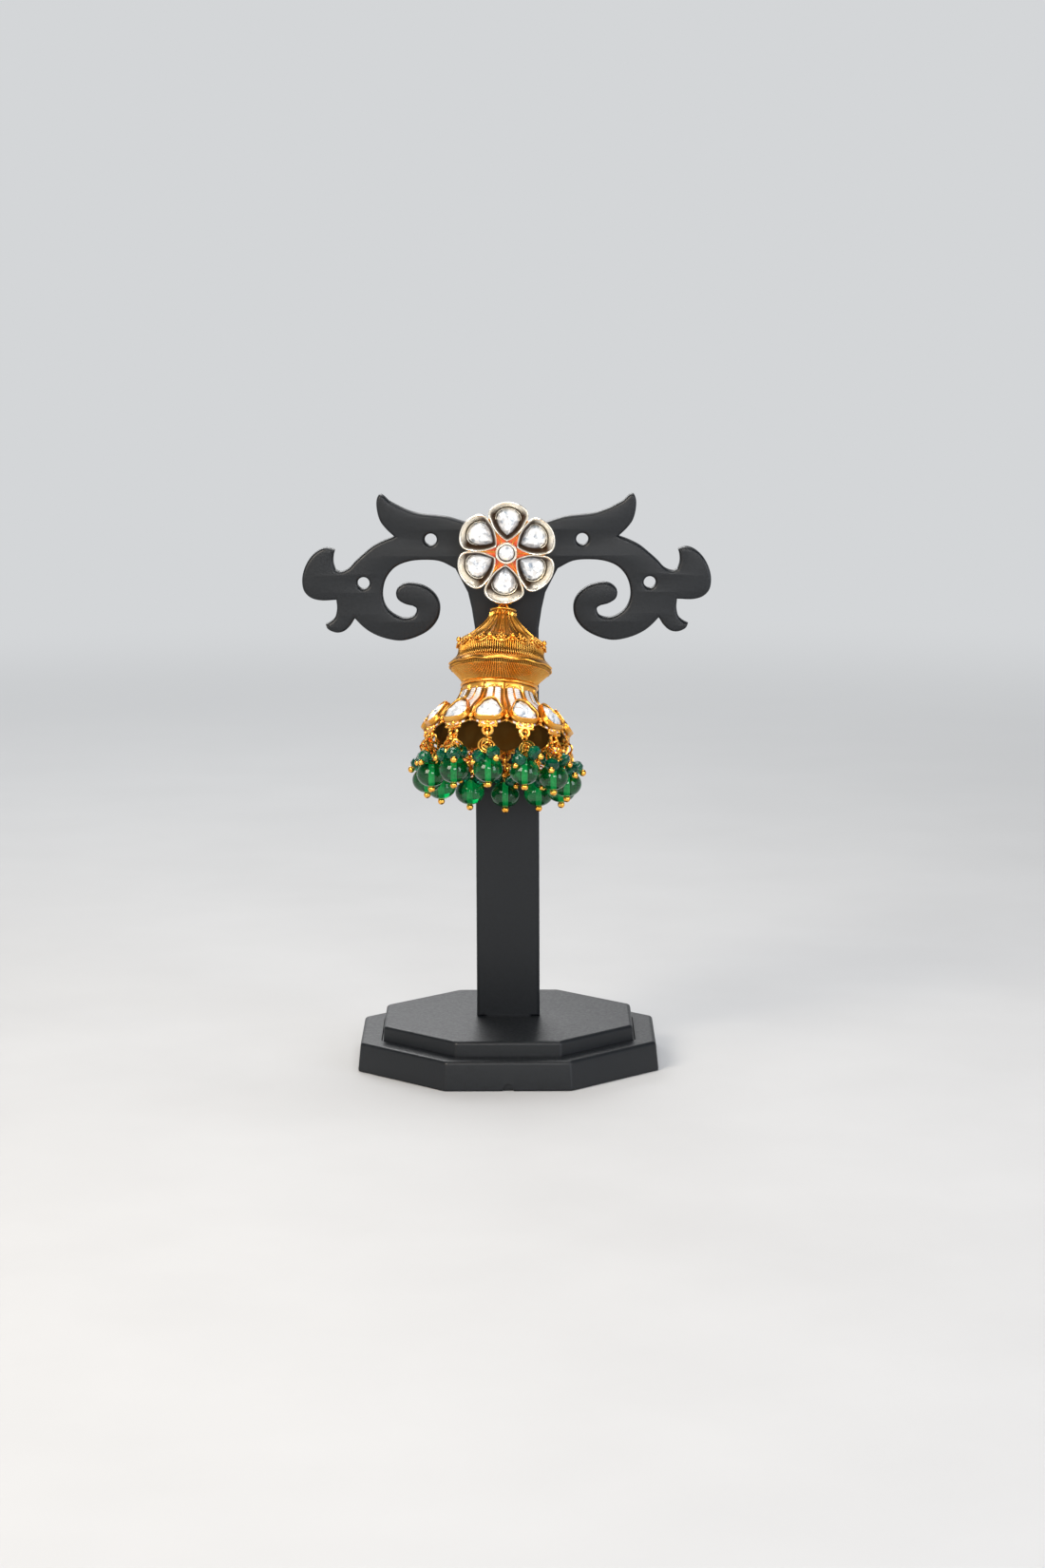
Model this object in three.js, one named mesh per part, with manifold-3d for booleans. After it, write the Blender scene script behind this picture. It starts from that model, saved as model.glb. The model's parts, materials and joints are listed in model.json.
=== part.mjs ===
// A jhumka earring hanging on a scroll display stand. Millimetres, +Z up, the front faces -Y.
// The origin is the centre of the base's underside.
import * as THREE from 'three';
import { mergeVertices } from 'three/addons/utils/BufferGeometryUtils.js';
import Module from 'manifold-3d';

const wasm = await Module();
wasm.setup();

// Stand: base
const lowerTierWidth = 57.7;
const lowerTierHeight = 5.7;
const upperTierWidth = 48;
const upperTierHeight = 2.8;
const tierTaper = 0.9;
const baseEdge = 0.4;
const gateWidth = 2.2;
const gateHeight = 1.5;
const gateDepth = 0.5;

// Stand: upright and crossbar, cut from one flat moulding
const standHeight = 110;
const plateThickness = 3.2;
const plateEdge = 0.45;
const postWidth = 12.2;
const tenonWidth = 9;
const tenonDepth = 4;
const socketGap = 0.15;
const armReach = 39.1;
const armDrop = 28;
const armHoleDiameter = 2.3;
const pinHoleDiameter = 2.3;
const pinHoleBelowTop = 9.2;
const holeSteps = 5;
const gateSides = 12;

// Stud
const petalCount = 6;
const petalLength = 7.5;
const petalWidth = 7;
const petalRootGap = 0.15;
const cupDepth = 3;
const cupRim = 0.35;
const cupLip = 0.45;
const cupFloor = 0.5;
const cupSides = 12;
const seatDepth = 0.6;
const stoneInset = 0.75;
const solderBite = 0.1;
const backPlateThickness = 0.8;
const backPlateRadius = 6.4;
const backPlateSides = 16;
const colletDiameter = 4.2;
const colletHeight = 4.2;
const colletRim = 0.2;
const colletSeatDepth = 1;
const roundSides = 12;
const centreStoneDiameter = 3;
const centreStoneHeight = 1.15;
const petalStoneLength = 5;
const petalStoneWidth = 4.1;
const petalStoneHeight = 1.1;
const cutStoneSides = 10;
const flowerNod = THREE.MathUtils.degToRad(5);
const flowerRoll = THREE.MathUtils.degToRad(3.5);
const pinDiameter = 0.9;
const pinTail = 0.8;
const pinBite = 0.4;
const pinSides = 8;
const nutDiameter = 5;
const nutThickness = 2.2;
const nutNeck = 3;
const nutGap = 0.3;

// Rings that link the stud and the drop
const loopWire = 0.5;
const linkWire = 0.44;
const linkInnerRadius = 1.05;
const studLoopRadius = 1.3;
const dropEyeRadius = 0.8;
const dropEyeSink = 0.45;
const studLoopTuck = 0.6;
const linkGap = 0.2;
const linkSteps = 14;
const eyeSteps = 12;
const loopSteps = 10;
const rimEyeSteps = 8;
const wireSides = 6;
const fineWireSides = 5;
const rimEyeSides = 4;

// Drop: heights are measured down from the collar, radii from its axis
const dropLean = THREE.MathUtils.degToRad(19);
const dropRoll = THREE.MathUtils.degToRad(3);
const flangeGap = 0.7;
const panelCount = 12;
const canopyHeight = 6.85;
const scallopDepth = 1.3;
const scallopStart = 0.2;
const canopyThickness = 0.4;
const canopyRidge = 0.15;
const ringSteps = 48;
const bandHeight = 4.35;
const lipHeight = 0.4;
const coneHeight = 3.7;
const bellHeight = 9.5;
const collarRadius = 2.5;
const eaveRadius = 8.5;
const bandRadius = 8.1;
const flangeRadius = 10;
const flangePoint = 0.35;
const coneTopRadius = 9.3;
const neckRadius = 7.1;
const neckBead = 0.25;
const neckGroove = 0.15;
const neckBeadHeight = 0.4;
const rimRadius = 13.7;
const bellWall = 0.8;
const bellRib = 0.25;
const rimScallop = 1.2;
const bellTurn = THREE.MathUtils.degToRad(-6.7);

// Settings and stones on the bell
const stoneGap = 0.15;
const stoneRise = 0.55;
const bezelWidth = 5.2;
const bezelHeight = 5.7;
const bezelRise = 0.9;
const bezelFoot = 0.45;
const bezelRim = 0.4;
const bezelTilt = THREE.MathUtils.degToRad(38);
const shieldSides = 9;
const shieldCorner = 0.1;
const bellStoneHeight = 1;
const granuleRadius = 0.5;
const rimEyeRadius = 0.85;
const rimEyeWire = 0.6;

// Bead clusters
const hangerRadius = 1;
const hangerWire = 0.4;
const stemLength = 3.3;
const stemDiameter = 1.4;
const stemBite = 0.15;
const stemSides = 6;
const largeBeadDiameter = 5.6;
const largeBeadHeight = 4.9;
const smallBeadDiameter = 2.8;
const pinBallDiameter = 1.3;
const largeBeadSides = 10;
const largeBeadRows = 5;
const smallBeadSides = 8;
const smallBeadRows = 3;
const beadPostGap = 1;
const beadBite = 0.2;
const hangerDrop = 0.2;
const postReach = 2;

const up = new THREE.Vector3(0, 0, 1);

// Half of the crossbar's outline, from the middle of its top edge round to the upright.
// Each row is [share of armReach out from the middle, share of armDrop down from the tips].
const armRuns = [
  { edge: 'top', steps: 5, rows: [[0, 0.213], [0.1, 0.208], [0.19, 0.193], [0.29, 0.152],
    [0.43, 0.128], [0.5, 0.096], [0.573, 0.043]] },
  { edge: 'horn', steps: 6, rows: [[0.573, 0.043], [0.605, 0.002], [0.62, 0], [0.632, 0.032],
    [0.632, 0.1], [0.616, 0.18], [0.585, 0.237], [0.547, 0.286]] },
  { edge: 'arm', steps: 7, rows: [[0.547, 0.286], [0.6, 0.314], [0.65, 0.35], [0.695, 0.4],
    [0.74, 0.457], [0.772, 0.504], [0.81, 0.525], [0.836, 0.514]] },
  { edge: 'hook inside', steps: 3, rows: [[0.836, 0.514], [0.846, 0.468], [0.846, 0.42], [0.838, 0.375]] },
  { edge: 'hook', steps: 8, rows: [[0.838, 0.375], [0.877, 0.361], [0.913, 0.375], [0.954, 0.421],
    [0.985, 0.49], [1, 0.575], [0.992, 0.654], [0.962, 0.7], [0.913, 0.721], [0.834, 0.718]] },
  { edge: 'leaf', steps: 4, rows: [[0.834, 0.718], [0.831, 0.779], [0.843, 0.843], [0.87, 0.875],
    [0.888, 0.886]] },
  { edge: 'leaf under', steps: 5, rows: [[0.888, 0.886], [0.877, 0.918], [0.837, 0.943],
    [0.8, 0.935], [0.767, 0.896], [0.744, 0.846]] },
  { edge: 'scroll', steps: 12, rows: [[0.744, 0.846], [0.71, 0.896], [0.67, 0.939], [0.606, 0.979],
    [0.517, 1], [0.432, 0.968], [0.37, 0.914], [0.332, 0.836], [0.327, 0.75], [0.35, 0.682],
    [0.4, 0.628], [0.468, 0.604], [0.509, 0.614], [0.54, 0.657], [0.535, 0.711], [0.5, 0.746],
    [0.46, 0.761]] },
  { edge: 'bay', steps: 10, rows: [[0.46, 0.761], [0.442, 0.779], [0.453, 0.829], [0.5, 0.846],
    [0.55, 0.821], [0.586, 0.775], [0.604, 0.711], [0.604, 0.643], [0.586, 0.564], [0.545, 0.496],
    [0.48, 0.457], [0.391, 0.446], [0.322, 0.457], [0.25, 0.507]] },
];
const armHoleShares = [{ out: 0.37, down: 0.307 }, { out: 0.7, down: 0.604 }];

// The foot of the crossbar widens from the upright: shares of postWidth added to each side.
const flareRows = [{ add: 0.107, down: 0.67 }, { add: 0.049, down: 0.78 }, { add: 0, down: 0.92 }];

// Sections of the drop: down is a share of the section's height, out a share of the way
// from its first radius to its last.
const canopyRows = [
  { down: 0, out: 0 },
  { down: 0.13, out: -0.03 },
  { down: 0.39, out: 0.12 },
  { down: 0.72, out: 0.46 },
  { down: 0.92, out: 0.8 },
];
const bandRows = [
  { down: 0.06, out: 0, point: 0 },
  { down: 0.52, out: 0.03, point: 0 },
  { down: 0.77, out: 0.38, point: 0.5 },
  { down: 1, out: 1, point: 1 },
];
const coneRows = [
  { down: 0.16, out: 0 },
  { down: 0.45, out: 0.58 },
  { down: 0.84, out: 1.05 },
];
const bellRows = [
  { down: 0.12, out: 0, rib: 0 },
  { down: 0.32, out: 0.14, rib: 1 },
  { down: 0.5, out: 0.47, rib: 1 },
  { down: 0.65, out: 0.71, rib: 1 },
  { down: 0.85, out: 0.87, rib: 0 },
  { down: 1, out: 1, rib: 0 },
];
const hollowRows = [
  { down: 1, out: 1 },
  { down: 0.5, out: 0.47 },
  { down: 0.22, out: 0.03 },
];
const bezelDown = 0.71;
const bezelOut = 0.76;
const granuleDown = 0.83;
const granuleOut = 0.86;

// Outer wall of a petal cup: size is a share of the petal, down a share of cupDepth below its rim.
const cupFoot = 0.62;
const cupRows = [{ size: 0.86, down: 0.4 }, { size: 1, down: 0.07 }];

// A cut stone from its back to its table: shares of its width and of its height.
const stoneCut = [{ size: 0.75, rise: 0 }, { size: 1, rise: 0.4 }, { size: 0.6, rise: 1 }];

// Small beads round a cluster's stem: turn in degrees from the outward side, share of the stem below its top.
const openBeads = [
  { turn: 38, below: 0.28 },
  { turn: -62, below: 0.56 },
  { turn: 170, below: 0.4 },
];
const postBeads = [
  { turn: 118, below: 0.28 },
  { turn: -122, below: 0.56 },
];

function paint(color, roughness, metalness) {
  return new THREE.MeshStandardMaterial({ color, roughness, metalness });
}
const blackPlastic = () => paint(0x17191d, 0.45, 0);
const antiqueGold = () => paint(0xc98a34, 0.3, 1);
const paleGold = () => paint(0xd9c08c, 0.25, 1);
const foiledGlass = () => paint(0xdfe2e2, 0.08, 0.3);
const greenGlass = () => paint(0x0b6b3a, 0.12, 0.1);

function toSolid(geometry) {
  const bare = geometry.clone();
  bare.deleteAttribute('normal');
  bare.deleteAttribute('uv');
  const merged = mergeVertices(bare, 1e-4);
  return new wasm.Manifold(new wasm.Mesh({
    numProp: 3,
    vertProperties: new Float32Array(merged.attributes.position.array),
    triVerts: new Uint32Array(merged.index.array),
  }));
}

function toGeometry(solid) {
  const mesh = solid.getMesh();
  const geometry = new THREE.BufferGeometry();
  geometry.setAttribute('position', new THREE.BufferAttribute(new Float32Array(mesh.vertProperties), 3));
  geometry.setIndex(new THREE.BufferAttribute(new Uint32Array(mesh.triVerts), 1));
  geometry.computeVertexNormals();
  return geometry;
}

function joined(geometries) {
  const solids = geometries.map(toSolid);
  return toGeometry(solids.reduce((sum, solid) => sum.add(solid)));
}

function cutFrom(geometry, tools) {
  return toGeometry(tools.map(toSolid).reduce((sum, tool) => sum.subtract(tool), toSolid(geometry)));
}

function centreOf(ring) {
  const centre = new THREE.Vector3();
  ring.forEach((point) => centre.add(point));
  return centre.divideScalar(ring.length);
}

// One closed body through rings of equal count, each end filled from its centre.
// The rings run anticlockwise seen from where the last ring lies.
function loft(rings) {
  const count = rings[0].length;
  const points = rings.flat();
  const firstCentre = points.push(centreOf(rings[0])) - 1;
  const lastCentre = points.push(centreOf(rings[rings.length - 1])) - 1;
  const lastStart = (rings.length - 1) * count;
  const index = [];
  for (let i = 0; i < count; i += 1) {
    const next = (i + 1) % count;
    for (let row = 0; row + 1 < rings.length; row += 1) {
      const a = row * count;
      const b = a + count;
      index.push(a + i, a + next, b + next, a + i, b + next, b + i);
    }
    index.push(firstCentre, next, i);
    index.push(lastCentre, lastStart + i, lastStart + next);
  }
  const geometry = new THREE.BufferGeometry().setFromPoints(points);
  geometry.setIndex(index);
  geometry.computeVertexNormals();
  return geometry;
}

function wireRing(radius, wire, around, sides) {
  return new THREE.TorusGeometry(radius, wire / 2, sides, around);
}

function rod(radius, length, sides) {
  return new THREE.CylinderGeometry(radius, radius, length, sides).rotateX(Math.PI / 2);
}

function octagonRing(acrossFlats, z) {
  const sides = 8;
  const corner = acrossFlats / 2 / Math.cos(Math.PI / sides);
  return Array.from({ length: sides }, (_, i) => {
    const angle = (i + 0.5) * 2 * Math.PI / sides;
    return new THREE.Vector3(corner * Math.cos(angle), corner * Math.sin(angle), z);
  });
}

function baseGeometry() {
  const lowerTop = lowerTierWidth - tierTaper;
  const top = lowerTierHeight + upperTierHeight;
  const body = loft([
    octagonRing(lowerTierWidth - baseEdge, 0),
    octagonRing(lowerTierWidth, baseEdge),
    octagonRing(lowerTop, lowerTierHeight - baseEdge),
    octagonRing(lowerTop - 2 * baseEdge, lowerTierHeight),
    octagonRing(upperTierWidth + baseEdge, lowerTierHeight),
    octagonRing(upperTierWidth, lowerTierHeight + baseEdge),
    octagonRing(upperTierWidth, top - baseEdge),
    octagonRing(upperTierWidth - 2 * baseEdge, top),
  ]);
  const slotDepth = tenonDepth + socketGap;
  const slotWidth = tenonWidth + 2 * socketGap;
  const slot = new THREE.BoxGeometry(slotWidth, plateThickness + 2 * socketGap, 2 * slotDepth);
  slot.translate(0, 0, top);
  const gate = new THREE.CylinderGeometry(gateWidth / 2, gateWidth / 2, 2 * gateDepth, gateSides);
  gate.scale(1, 1, gateHeight / (gateWidth / 2));
  gate.translate(0, -lowerTierWidth / 2, 0);
  return cutFrom(body, [slot, gate]);
}

function armPoint([out, down]) {
  return new THREE.Vector3(out * armReach, standHeight - down * armDrop, 0);
}

function halfOutline() {
  const points = [];
  for (const run of armRuns) {
    const curve = new THREE.CatmullRomCurve3(run.rows.map(armPoint), false, 'centripetal');
    points.push(...curve.getPoints(run.steps).slice(0, -1));
  }
  points.push(armPoint(armRuns[armRuns.length - 1].rows.at(-1)));
  for (const row of flareRows) {
    points.push(new THREE.Vector3((0.5 + row.add) * postWidth, standHeight - row.down * armDrop, 0));
  }
  const shoulder = lowerTierHeight + upperTierHeight;
  points.push(new THREE.Vector3(postWidth / 2, shoulder, 0));
  points.push(new THREE.Vector3(tenonWidth / 2, shoulder, 0));
  points.push(new THREE.Vector3(tenonWidth / 2, shoulder - tenonDepth, 0));
  return points;
}

function treeGeometry() {
  const half = halfOutline();
  const mirrored = half.slice(1).reverse().map((point) => new THREE.Vector3(-point.x, point.y, 0));
  const outline = [...half, ...mirrored].map((point) => new THREE.Vector2(point.x, point.y));
  const shape = new THREE.Shape(outline);
  const addHole = (x, z, diameter) => {
    shape.holes.push(new THREE.Path().absarc(x, z, diameter / 2, 0, 2 * Math.PI, false));
  };
  for (const hole of armHoleShares) {
    addHole(hole.out * armReach, standHeight - hole.down * armDrop, armHoleDiameter);
    addHole(-hole.out * armReach, standHeight - hole.down * armDrop, armHoleDiameter);
  }
  addHole(0, standHeight - pinHoleBelowTop, pinHoleDiameter);
  const geometry = new THREE.ExtrudeGeometry(shape, {
    depth: plateThickness - 2 * plateEdge,
    bevelThickness: plateEdge,
    bevelSize: plateEdge,
    bevelOffset: -plateEdge,
    bevelSegments: 1,
    curveSegments: holeSteps,
  });
  geometry.rotateX(Math.PI / 2);
  geometry.translate(0, plateThickness / 2 - plateEdge, 0);
  return toGeometry(toSolid(geometry));
}

// A teardrop with its point towards the origin and its broad end at +Y.
const tearPeak = 0.7698;
const tearMiddle = 0.6;
function tearRing(width, length, startY, z, count = cupSides) {
  return Array.from({ length: count }, (_, i) => {
    const angle = 2 * Math.PI * i / count;
    const x = (width / 2) * Math.sin(angle) * Math.abs(Math.sin(angle / 2)) / tearPeak;
    return new THREE.Vector3(x, startY + length * (1 - Math.cos(angle)) / 2, z);
  });
}

const petalRoot = colletDiameter / 2 + petalRootGap;
const petalSeat = { start: petalRoot + stoneInset, floor: backPlateThickness + cupFloor };

function cupGeometry() {
  const rim = backPlateThickness + cupDepth;
  const foot = (z) => tearRing(petalWidth * cupFoot, petalLength * cupFoot, petalRoot, z);
  const wall = (row) => tearRing(
    petalWidth * row.size,
    petalLength * row.size,
    petalRoot,
    rim - row.down * cupDepth,
  );
  const seat = (z) => tearRing(
    petalStoneWidth + 2 * stoneGap,
    petalStoneLength + 2 * stoneGap,
    petalSeat.start - stoneGap,
    z,
  );
  return loft([
    foot(solderBite),
    foot(backPlateThickness),
    ...cupRows.map(wall),
    tearRing(petalWidth - cupRim, petalLength - cupRim / 2, petalRoot, rim),
    tearRing(petalWidth - 2 * cupLip, petalLength - 2 * cupLip, petalRoot + cupLip, rim - cupRim),
    seat(petalSeat.floor + seatDepth),
    seat(petalSeat.floor),
  ]);
}

const colletSeatZ = colletHeight - colletSeatDepth;

function colletGeometry() {
  const outer = colletDiameter / 2;
  const seat = centreStoneDiameter / 2 + stoneGap;
  return new THREE.LatheGeometry([
    new THREE.Vector2(0, solderBite),
    new THREE.Vector2(outer, solderBite),
    new THREE.Vector2(outer, colletHeight - colletRim),
    new THREE.Vector2(outer - colletRim, colletHeight),
    new THREE.Vector2(seat, colletHeight - colletRim),
    new THREE.Vector2(seat, colletSeatZ),
    new THREE.Vector2(0, colletSeatZ),
  ], roundSides).rotateX(Math.PI / 2);
}

// The stud's own frame: +Y up its face, +Z out of its face, the pin's root at the origin.
const studLoop = { reach: petalRoot + petalLength - studLoopTuck, out: backPlateThickness / 2 };
const plateFront = -plateThickness / 2;
const pinHoleZ = standHeight - pinHoleBelowTop;

// The drop hangs from the link ring's lower contact, its collar this far below.
const linkDrop = 2 * (linkInnerRadius - loopWire / 2 - linkGap);
const collarDrop = 2 * dropEyeRadius - dropEyeSink;
const flangeBelow = linkDrop + collarDrop + canopyHeight + bandHeight;

// The drop's flange rests against the upright, so its hinge stands forward of it.
const hinge = new THREE.Vector3();
hinge.y = plateFront - flangeGap - flangeRadius * Math.cos(dropLean) + flangeBelow * Math.sin(dropLean);
const loopSide = -studLoop.reach * Math.sin(flowerRoll);
const loopDown = studLoop.reach * Math.cos(flowerRoll);
const studRoot = new THREE.Vector3();
studRoot.y = hinge.y - loopDown * Math.sin(flowerNod) + studLoop.out * Math.cos(flowerNod);
studRoot.z = pinHoleZ + studRoot.y * Math.tan(flowerNod);
hinge.x = loopSide;
hinge.z = studRoot.z - loopDown * Math.cos(flowerNod) - studLoop.out * Math.sin(flowerNod);

const nutSeat = (plateThickness / 2 - studRoot.y + nutGap) / Math.cos(flowerNod)
  + nutDiameter / 2 * Math.tan(flowerNod);
const pinLength = nutSeat + nutThickness + pinTail;

function flowerGeometry() {
  const parts = [
    rod(backPlateRadius, backPlateThickness, backPlateSides).translate(0, 0, backPlateThickness / 2),
    colletGeometry(),
  ];
  for (let i = 0; i < petalCount; i += 1) {
    parts.push(cupGeometry().rotateZ(i * 2 * Math.PI / petalCount));
  }
  const loop = wireRing(studLoopRadius, loopWire, loopSteps, wireSides);
  loop.translate(0, studLoopRadius - studLoop.reach, studLoop.out);
  parts.push(loop);
  parts.push(rod(pinDiameter / 2, pinLength + pinBite, pinSides).translate(0, 0, (pinBite - pinLength) / 2));
  return joined(parts);
}

function petalStoneGeometry() {
  const back = petalSeat.floor + stoneGap;
  return loft(stoneCut.map((row) => tearRing(
    petalStoneWidth * row.size,
    petalStoneLength * row.size,
    petalSeat.start + petalStoneLength * (1 - row.size) * tearMiddle,
    back + row.rise * petalStoneHeight,
    cutStoneSides,
  )));
}

function roundStoneGeometry() {
  const back = colletSeatZ + stoneGap;
  const profile = stoneCut.map((row) => new THREE.Vector2(
    row.size * centreStoneDiameter / 2,
    back + row.rise * centreStoneHeight,
  ));
  profile.unshift(new THREE.Vector2(0, back));
  profile.push(new THREE.Vector2(0, back + centreStoneHeight));
  return new THREE.LatheGeometry(profile, cutStoneSides).rotateX(Math.PI / 2);
}

function nutGeometry() {
  const outer = nutDiameter / 2;
  const bore = pinDiameter / 2 + linkGap;
  const profile = [
    new THREE.Vector2(bore, 0),
    new THREE.Vector2(bore, -nutThickness),
    new THREE.Vector2(nutNeck / 2, -nutThickness),
    new THREE.Vector2(outer, -nutThickness / 2),
    new THREE.Vector2(outer, 0),
    new THREE.Vector2(bore, 0),
  ];
  return new THREE.LatheGeometry(profile, roundSides).rotateX(Math.PI / 2);
}

function linkGeometry() {
  return wireRing(linkInnerRadius + linkWire / 2, linkWire, linkSteps, wireSides).rotateY(Math.PI / 2);
}

// The drop's own frame: its axis is Z and its collar is at z 0. Turns start at the front.
const stepsPerPanel = ringSteps / panelCount;

function dropRing(down, radiusAt, turn = 0, downAt = () => down) {
  return Array.from({ length: ringSteps }, (_, i) => {
    const angle = -2 * Math.PI * i / ringSteps;
    const radius = radiusAt(angle, i);
    return new THREE.Vector3(
      radius * Math.sin(angle + turn),
      -radius * Math.cos(angle + turn),
      -downAt(angle),
    );
  });
}

const bandTop = canopyHeight;
const flangeTop = bandTop + bandHeight;
const coneTop = flangeTop + lipHeight;
const neckTop = coneTop + coneHeight;
const rimDown = neckTop + bellHeight;
const bellRadius = (out) => neckRadius + out * (rimRadius - neckRadius);

function canopyGeometry() {
  const spread = eaveRadius - collarRadius;
  const inside = eaveRadius - canopyThickness;
  const ridge = (angle, down) => canopyRidge * down * Math.cos(panelCount * angle);
  const arch = (angle) => Math.abs(Math.cos(panelCount * angle / 2)) - scallopStart;
  const scallop = (angle) => canopyHeight + scallopDepth * arch(angle);
  const rings = canopyRows.map((row) => dropRing(
    row.down * canopyHeight,
    (angle) => collarRadius + row.out * spread - ridge(angle, row.down),
  ));
  rings.push(dropRing(canopyHeight, () => eaveRadius));
  rings.push(dropRing(0, () => eaveRadius, 0, scallop));
  rings.push(dropRing(0, () => inside, 0, scallop));
  rings.push(dropRing(canopyHeight, () => inside - canopyThickness / 2));
  return loft(rings);
}

function trunkGeometry() {
  const soft = (angle, point) => point * flangePoint * (1 + Math.cos(panelCount * angle)) / 2;
  const rings = bandRows.map((row) => dropRing(
    bandTop + row.down * bandHeight,
    (angle) => bandRadius + row.out * (flangeRadius - bandRadius) - soft(angle, row.point),
  ));
  rings.push(dropRing(coneTop, (angle) => flangeRadius - soft(angle, 1)));
  for (const row of coneRows) {
    const radius = coneTopRadius + row.out * (neckRadius - coneTopRadius);
    rings.push(dropRing(coneTop + row.down * coneHeight, () => radius));
  }
  rings.push(dropRing(neckTop, () => neckRadius + neckBead, bellTurn));
  rings.push(dropRing(neckTop + neckBeadHeight, () => neckRadius - neckGroove, bellTurn));
  const scalloped = (row) => (angle) => neckTop + row.down * bellHeight
    - (row.down === 1 ? rimScallop * (1 - Math.cos(panelCount * angle)) / 2 : 0);
  for (const row of bellRows) {
    const rib = (i) => (i % stepsPerPanel === stepsPerPanel / 2 ? row.rib * bellRib : 0);
    rings.push(dropRing(0, (angle, i) => bellRadius(row.out) + rib(i), bellTurn, scalloped(row)));
  }
  for (const row of hollowRows) {
    rings.push(dropRing(0, () => bellRadius(row.out) - bellWall, bellTurn, scalloped(row)));
  }
  return loft(rings);
}

// Turns and moves a piece from its own flat frame onto the drop: +Z out, +Y up.
function onDrop(geometry, turn, radius, down, tilt) {
  return geometry
    .rotateX(Math.PI / 2 - tilt)
    .translate(0, -radius, -down)
    .rotateZ(turn);
}

function panelTurn(i) {
  return bellTurn + i * 2 * Math.PI / panelCount;
}

// A rounded triangle with its point up.
function shieldRing(width, height, z) {
  return Array.from({ length: shieldSides }, (_, i) => {
    const angle = Math.PI / 2 + 2 * Math.PI * i / shieldSides;
    const reach = (1 - shieldCorner * Math.sin(3 * angle)) / 2;
    return new THREE.Vector3(width * Math.cos(angle) * reach, height * Math.sin(angle) * reach, z);
  });
}

function bezelGeometry() {
  const inner = 2 * bezelRim;
  return loft([
    shieldRing(bezelWidth, bezelHeight, -bezelFoot),
    shieldRing(bezelWidth, bezelHeight, bezelRise),
    shieldRing(bezelWidth - inner, bezelHeight - inner, bezelRise),
    shieldRing(bezelWidth - inner, bezelHeight - inner, bezelRise - stoneRise),
  ]);
}

function bellStoneGeometry() {
  const inner = 2 * (bezelRim + stoneGap);
  const width = bezelWidth - inner;
  const height = bezelHeight - inner;
  const back = bezelRise - stoneRise + stoneGap;
  return loft(stoneCut.map((row) => shieldRing(
    width * row.size,
    height * row.size,
    back + row.rise * bellStoneHeight,
  )));
}

const bezelRadius = bellRadius(bezelOut);
const bezelAt = neckTop + bezelDown * bellHeight;
const eyeAt = rimDown + rimEyeRadius - rimEyeWire / 2;
const eyeRadius = rimRadius - bellWall / 2;

function dropBodyGeometry() {
  const parts = [canopyGeometry(), trunkGeometry()];
  const topEye = wireRing(dropEyeRadius, loopWire, eyeSteps, wireSides).rotateX(Math.PI / 2);
  parts.push(topEye.translate(0, 0, collarDrop - dropEyeRadius));
  for (let i = 0; i < panelCount; i += 1) {
    const turn = panelTurn(i);
    parts.push(onDrop(bezelGeometry(), turn, bezelRadius, bezelAt, bezelTilt));
    const granule = new THREE.OctahedronGeometry(granuleRadius, 0);
    const between = turn + Math.PI / panelCount;
    const granuleAt = neckTop + granuleDown * bellHeight;
    parts.push(onDrop(granule, between, bellRadius(granuleOut) + bellRib, granuleAt, 0));
    const rimEye = wireRing(rimEyeRadius, rimEyeWire, rimEyeSteps, rimEyeSides);
    parts.push(onDrop(rimEye, turn, eyeRadius, eyeAt, 0));
  }
  return joined(parts);
}

// A bead cluster's own frame: its hanger's top is at the origin and +X is outward.
function clusterGeometry(smallBeads) {
  const stemTop = -2 * hangerRadius;
  const stemFoot = stemTop - stemLength;
  const beadZ = stemFoot - (largeBeadHeight - beadBite) / 2;
  const hanger = wireRing(hangerRadius, hangerWire, loopSteps, fineWireSides).rotateX(Math.PI / 2);
  const stem = rod(stemDiameter / 2, stemLength + 2 * stemBite, stemSides);
  const large = new THREE.SphereGeometry(largeBeadDiameter / 2, largeBeadSides, largeBeadRows);
  large.rotateX(Math.PI / 2);
  const footBall = new THREE.IcosahedronGeometry(pinBallDiameter / 2, 0);
  const parts = [
    hanger.translate(0, 0, -hangerRadius),
    stem.translate(0, 0, stemTop - stemLength / 2),
    large.scale(1, 1, largeBeadHeight / largeBeadDiameter).translate(0, 0, beadZ),
    footBall.translate(0, 0, beadZ - (largeBeadHeight + pinBallDiameter) / 2 + beadBite),
  ];
  const beadSide = smallBeadDiameter / 2 * Math.sin(Math.PI / smallBeadRows);
  for (const row of smallBeads) {
    const bead = new THREE.SphereGeometry(smallBeadDiameter / 2, smallBeadSides, smallBeadRows);
    bead.rotateX(Math.PI / 2);
    bead.translate(beadSide + stemDiameter / 2 - beadBite, 0, stemTop - row.below * stemLength);
    parts.push(bead.rotateZ(THREE.MathUtils.degToRad(row.turn)));
  }
  return joined(parts);
}

function named(name, geometry, material) {
  const mesh = new THREE.Mesh(geometry, material);
  mesh.name = name;
  return mesh;
}

function buildStand() {
  const stand = new THREE.Group();
  stand.add(named('stand_base', baseGeometry(), blackPlastic()));
  stand.add(named('display_tree', treeGeometry(), blackPlastic()));
  return stand;
}

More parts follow.
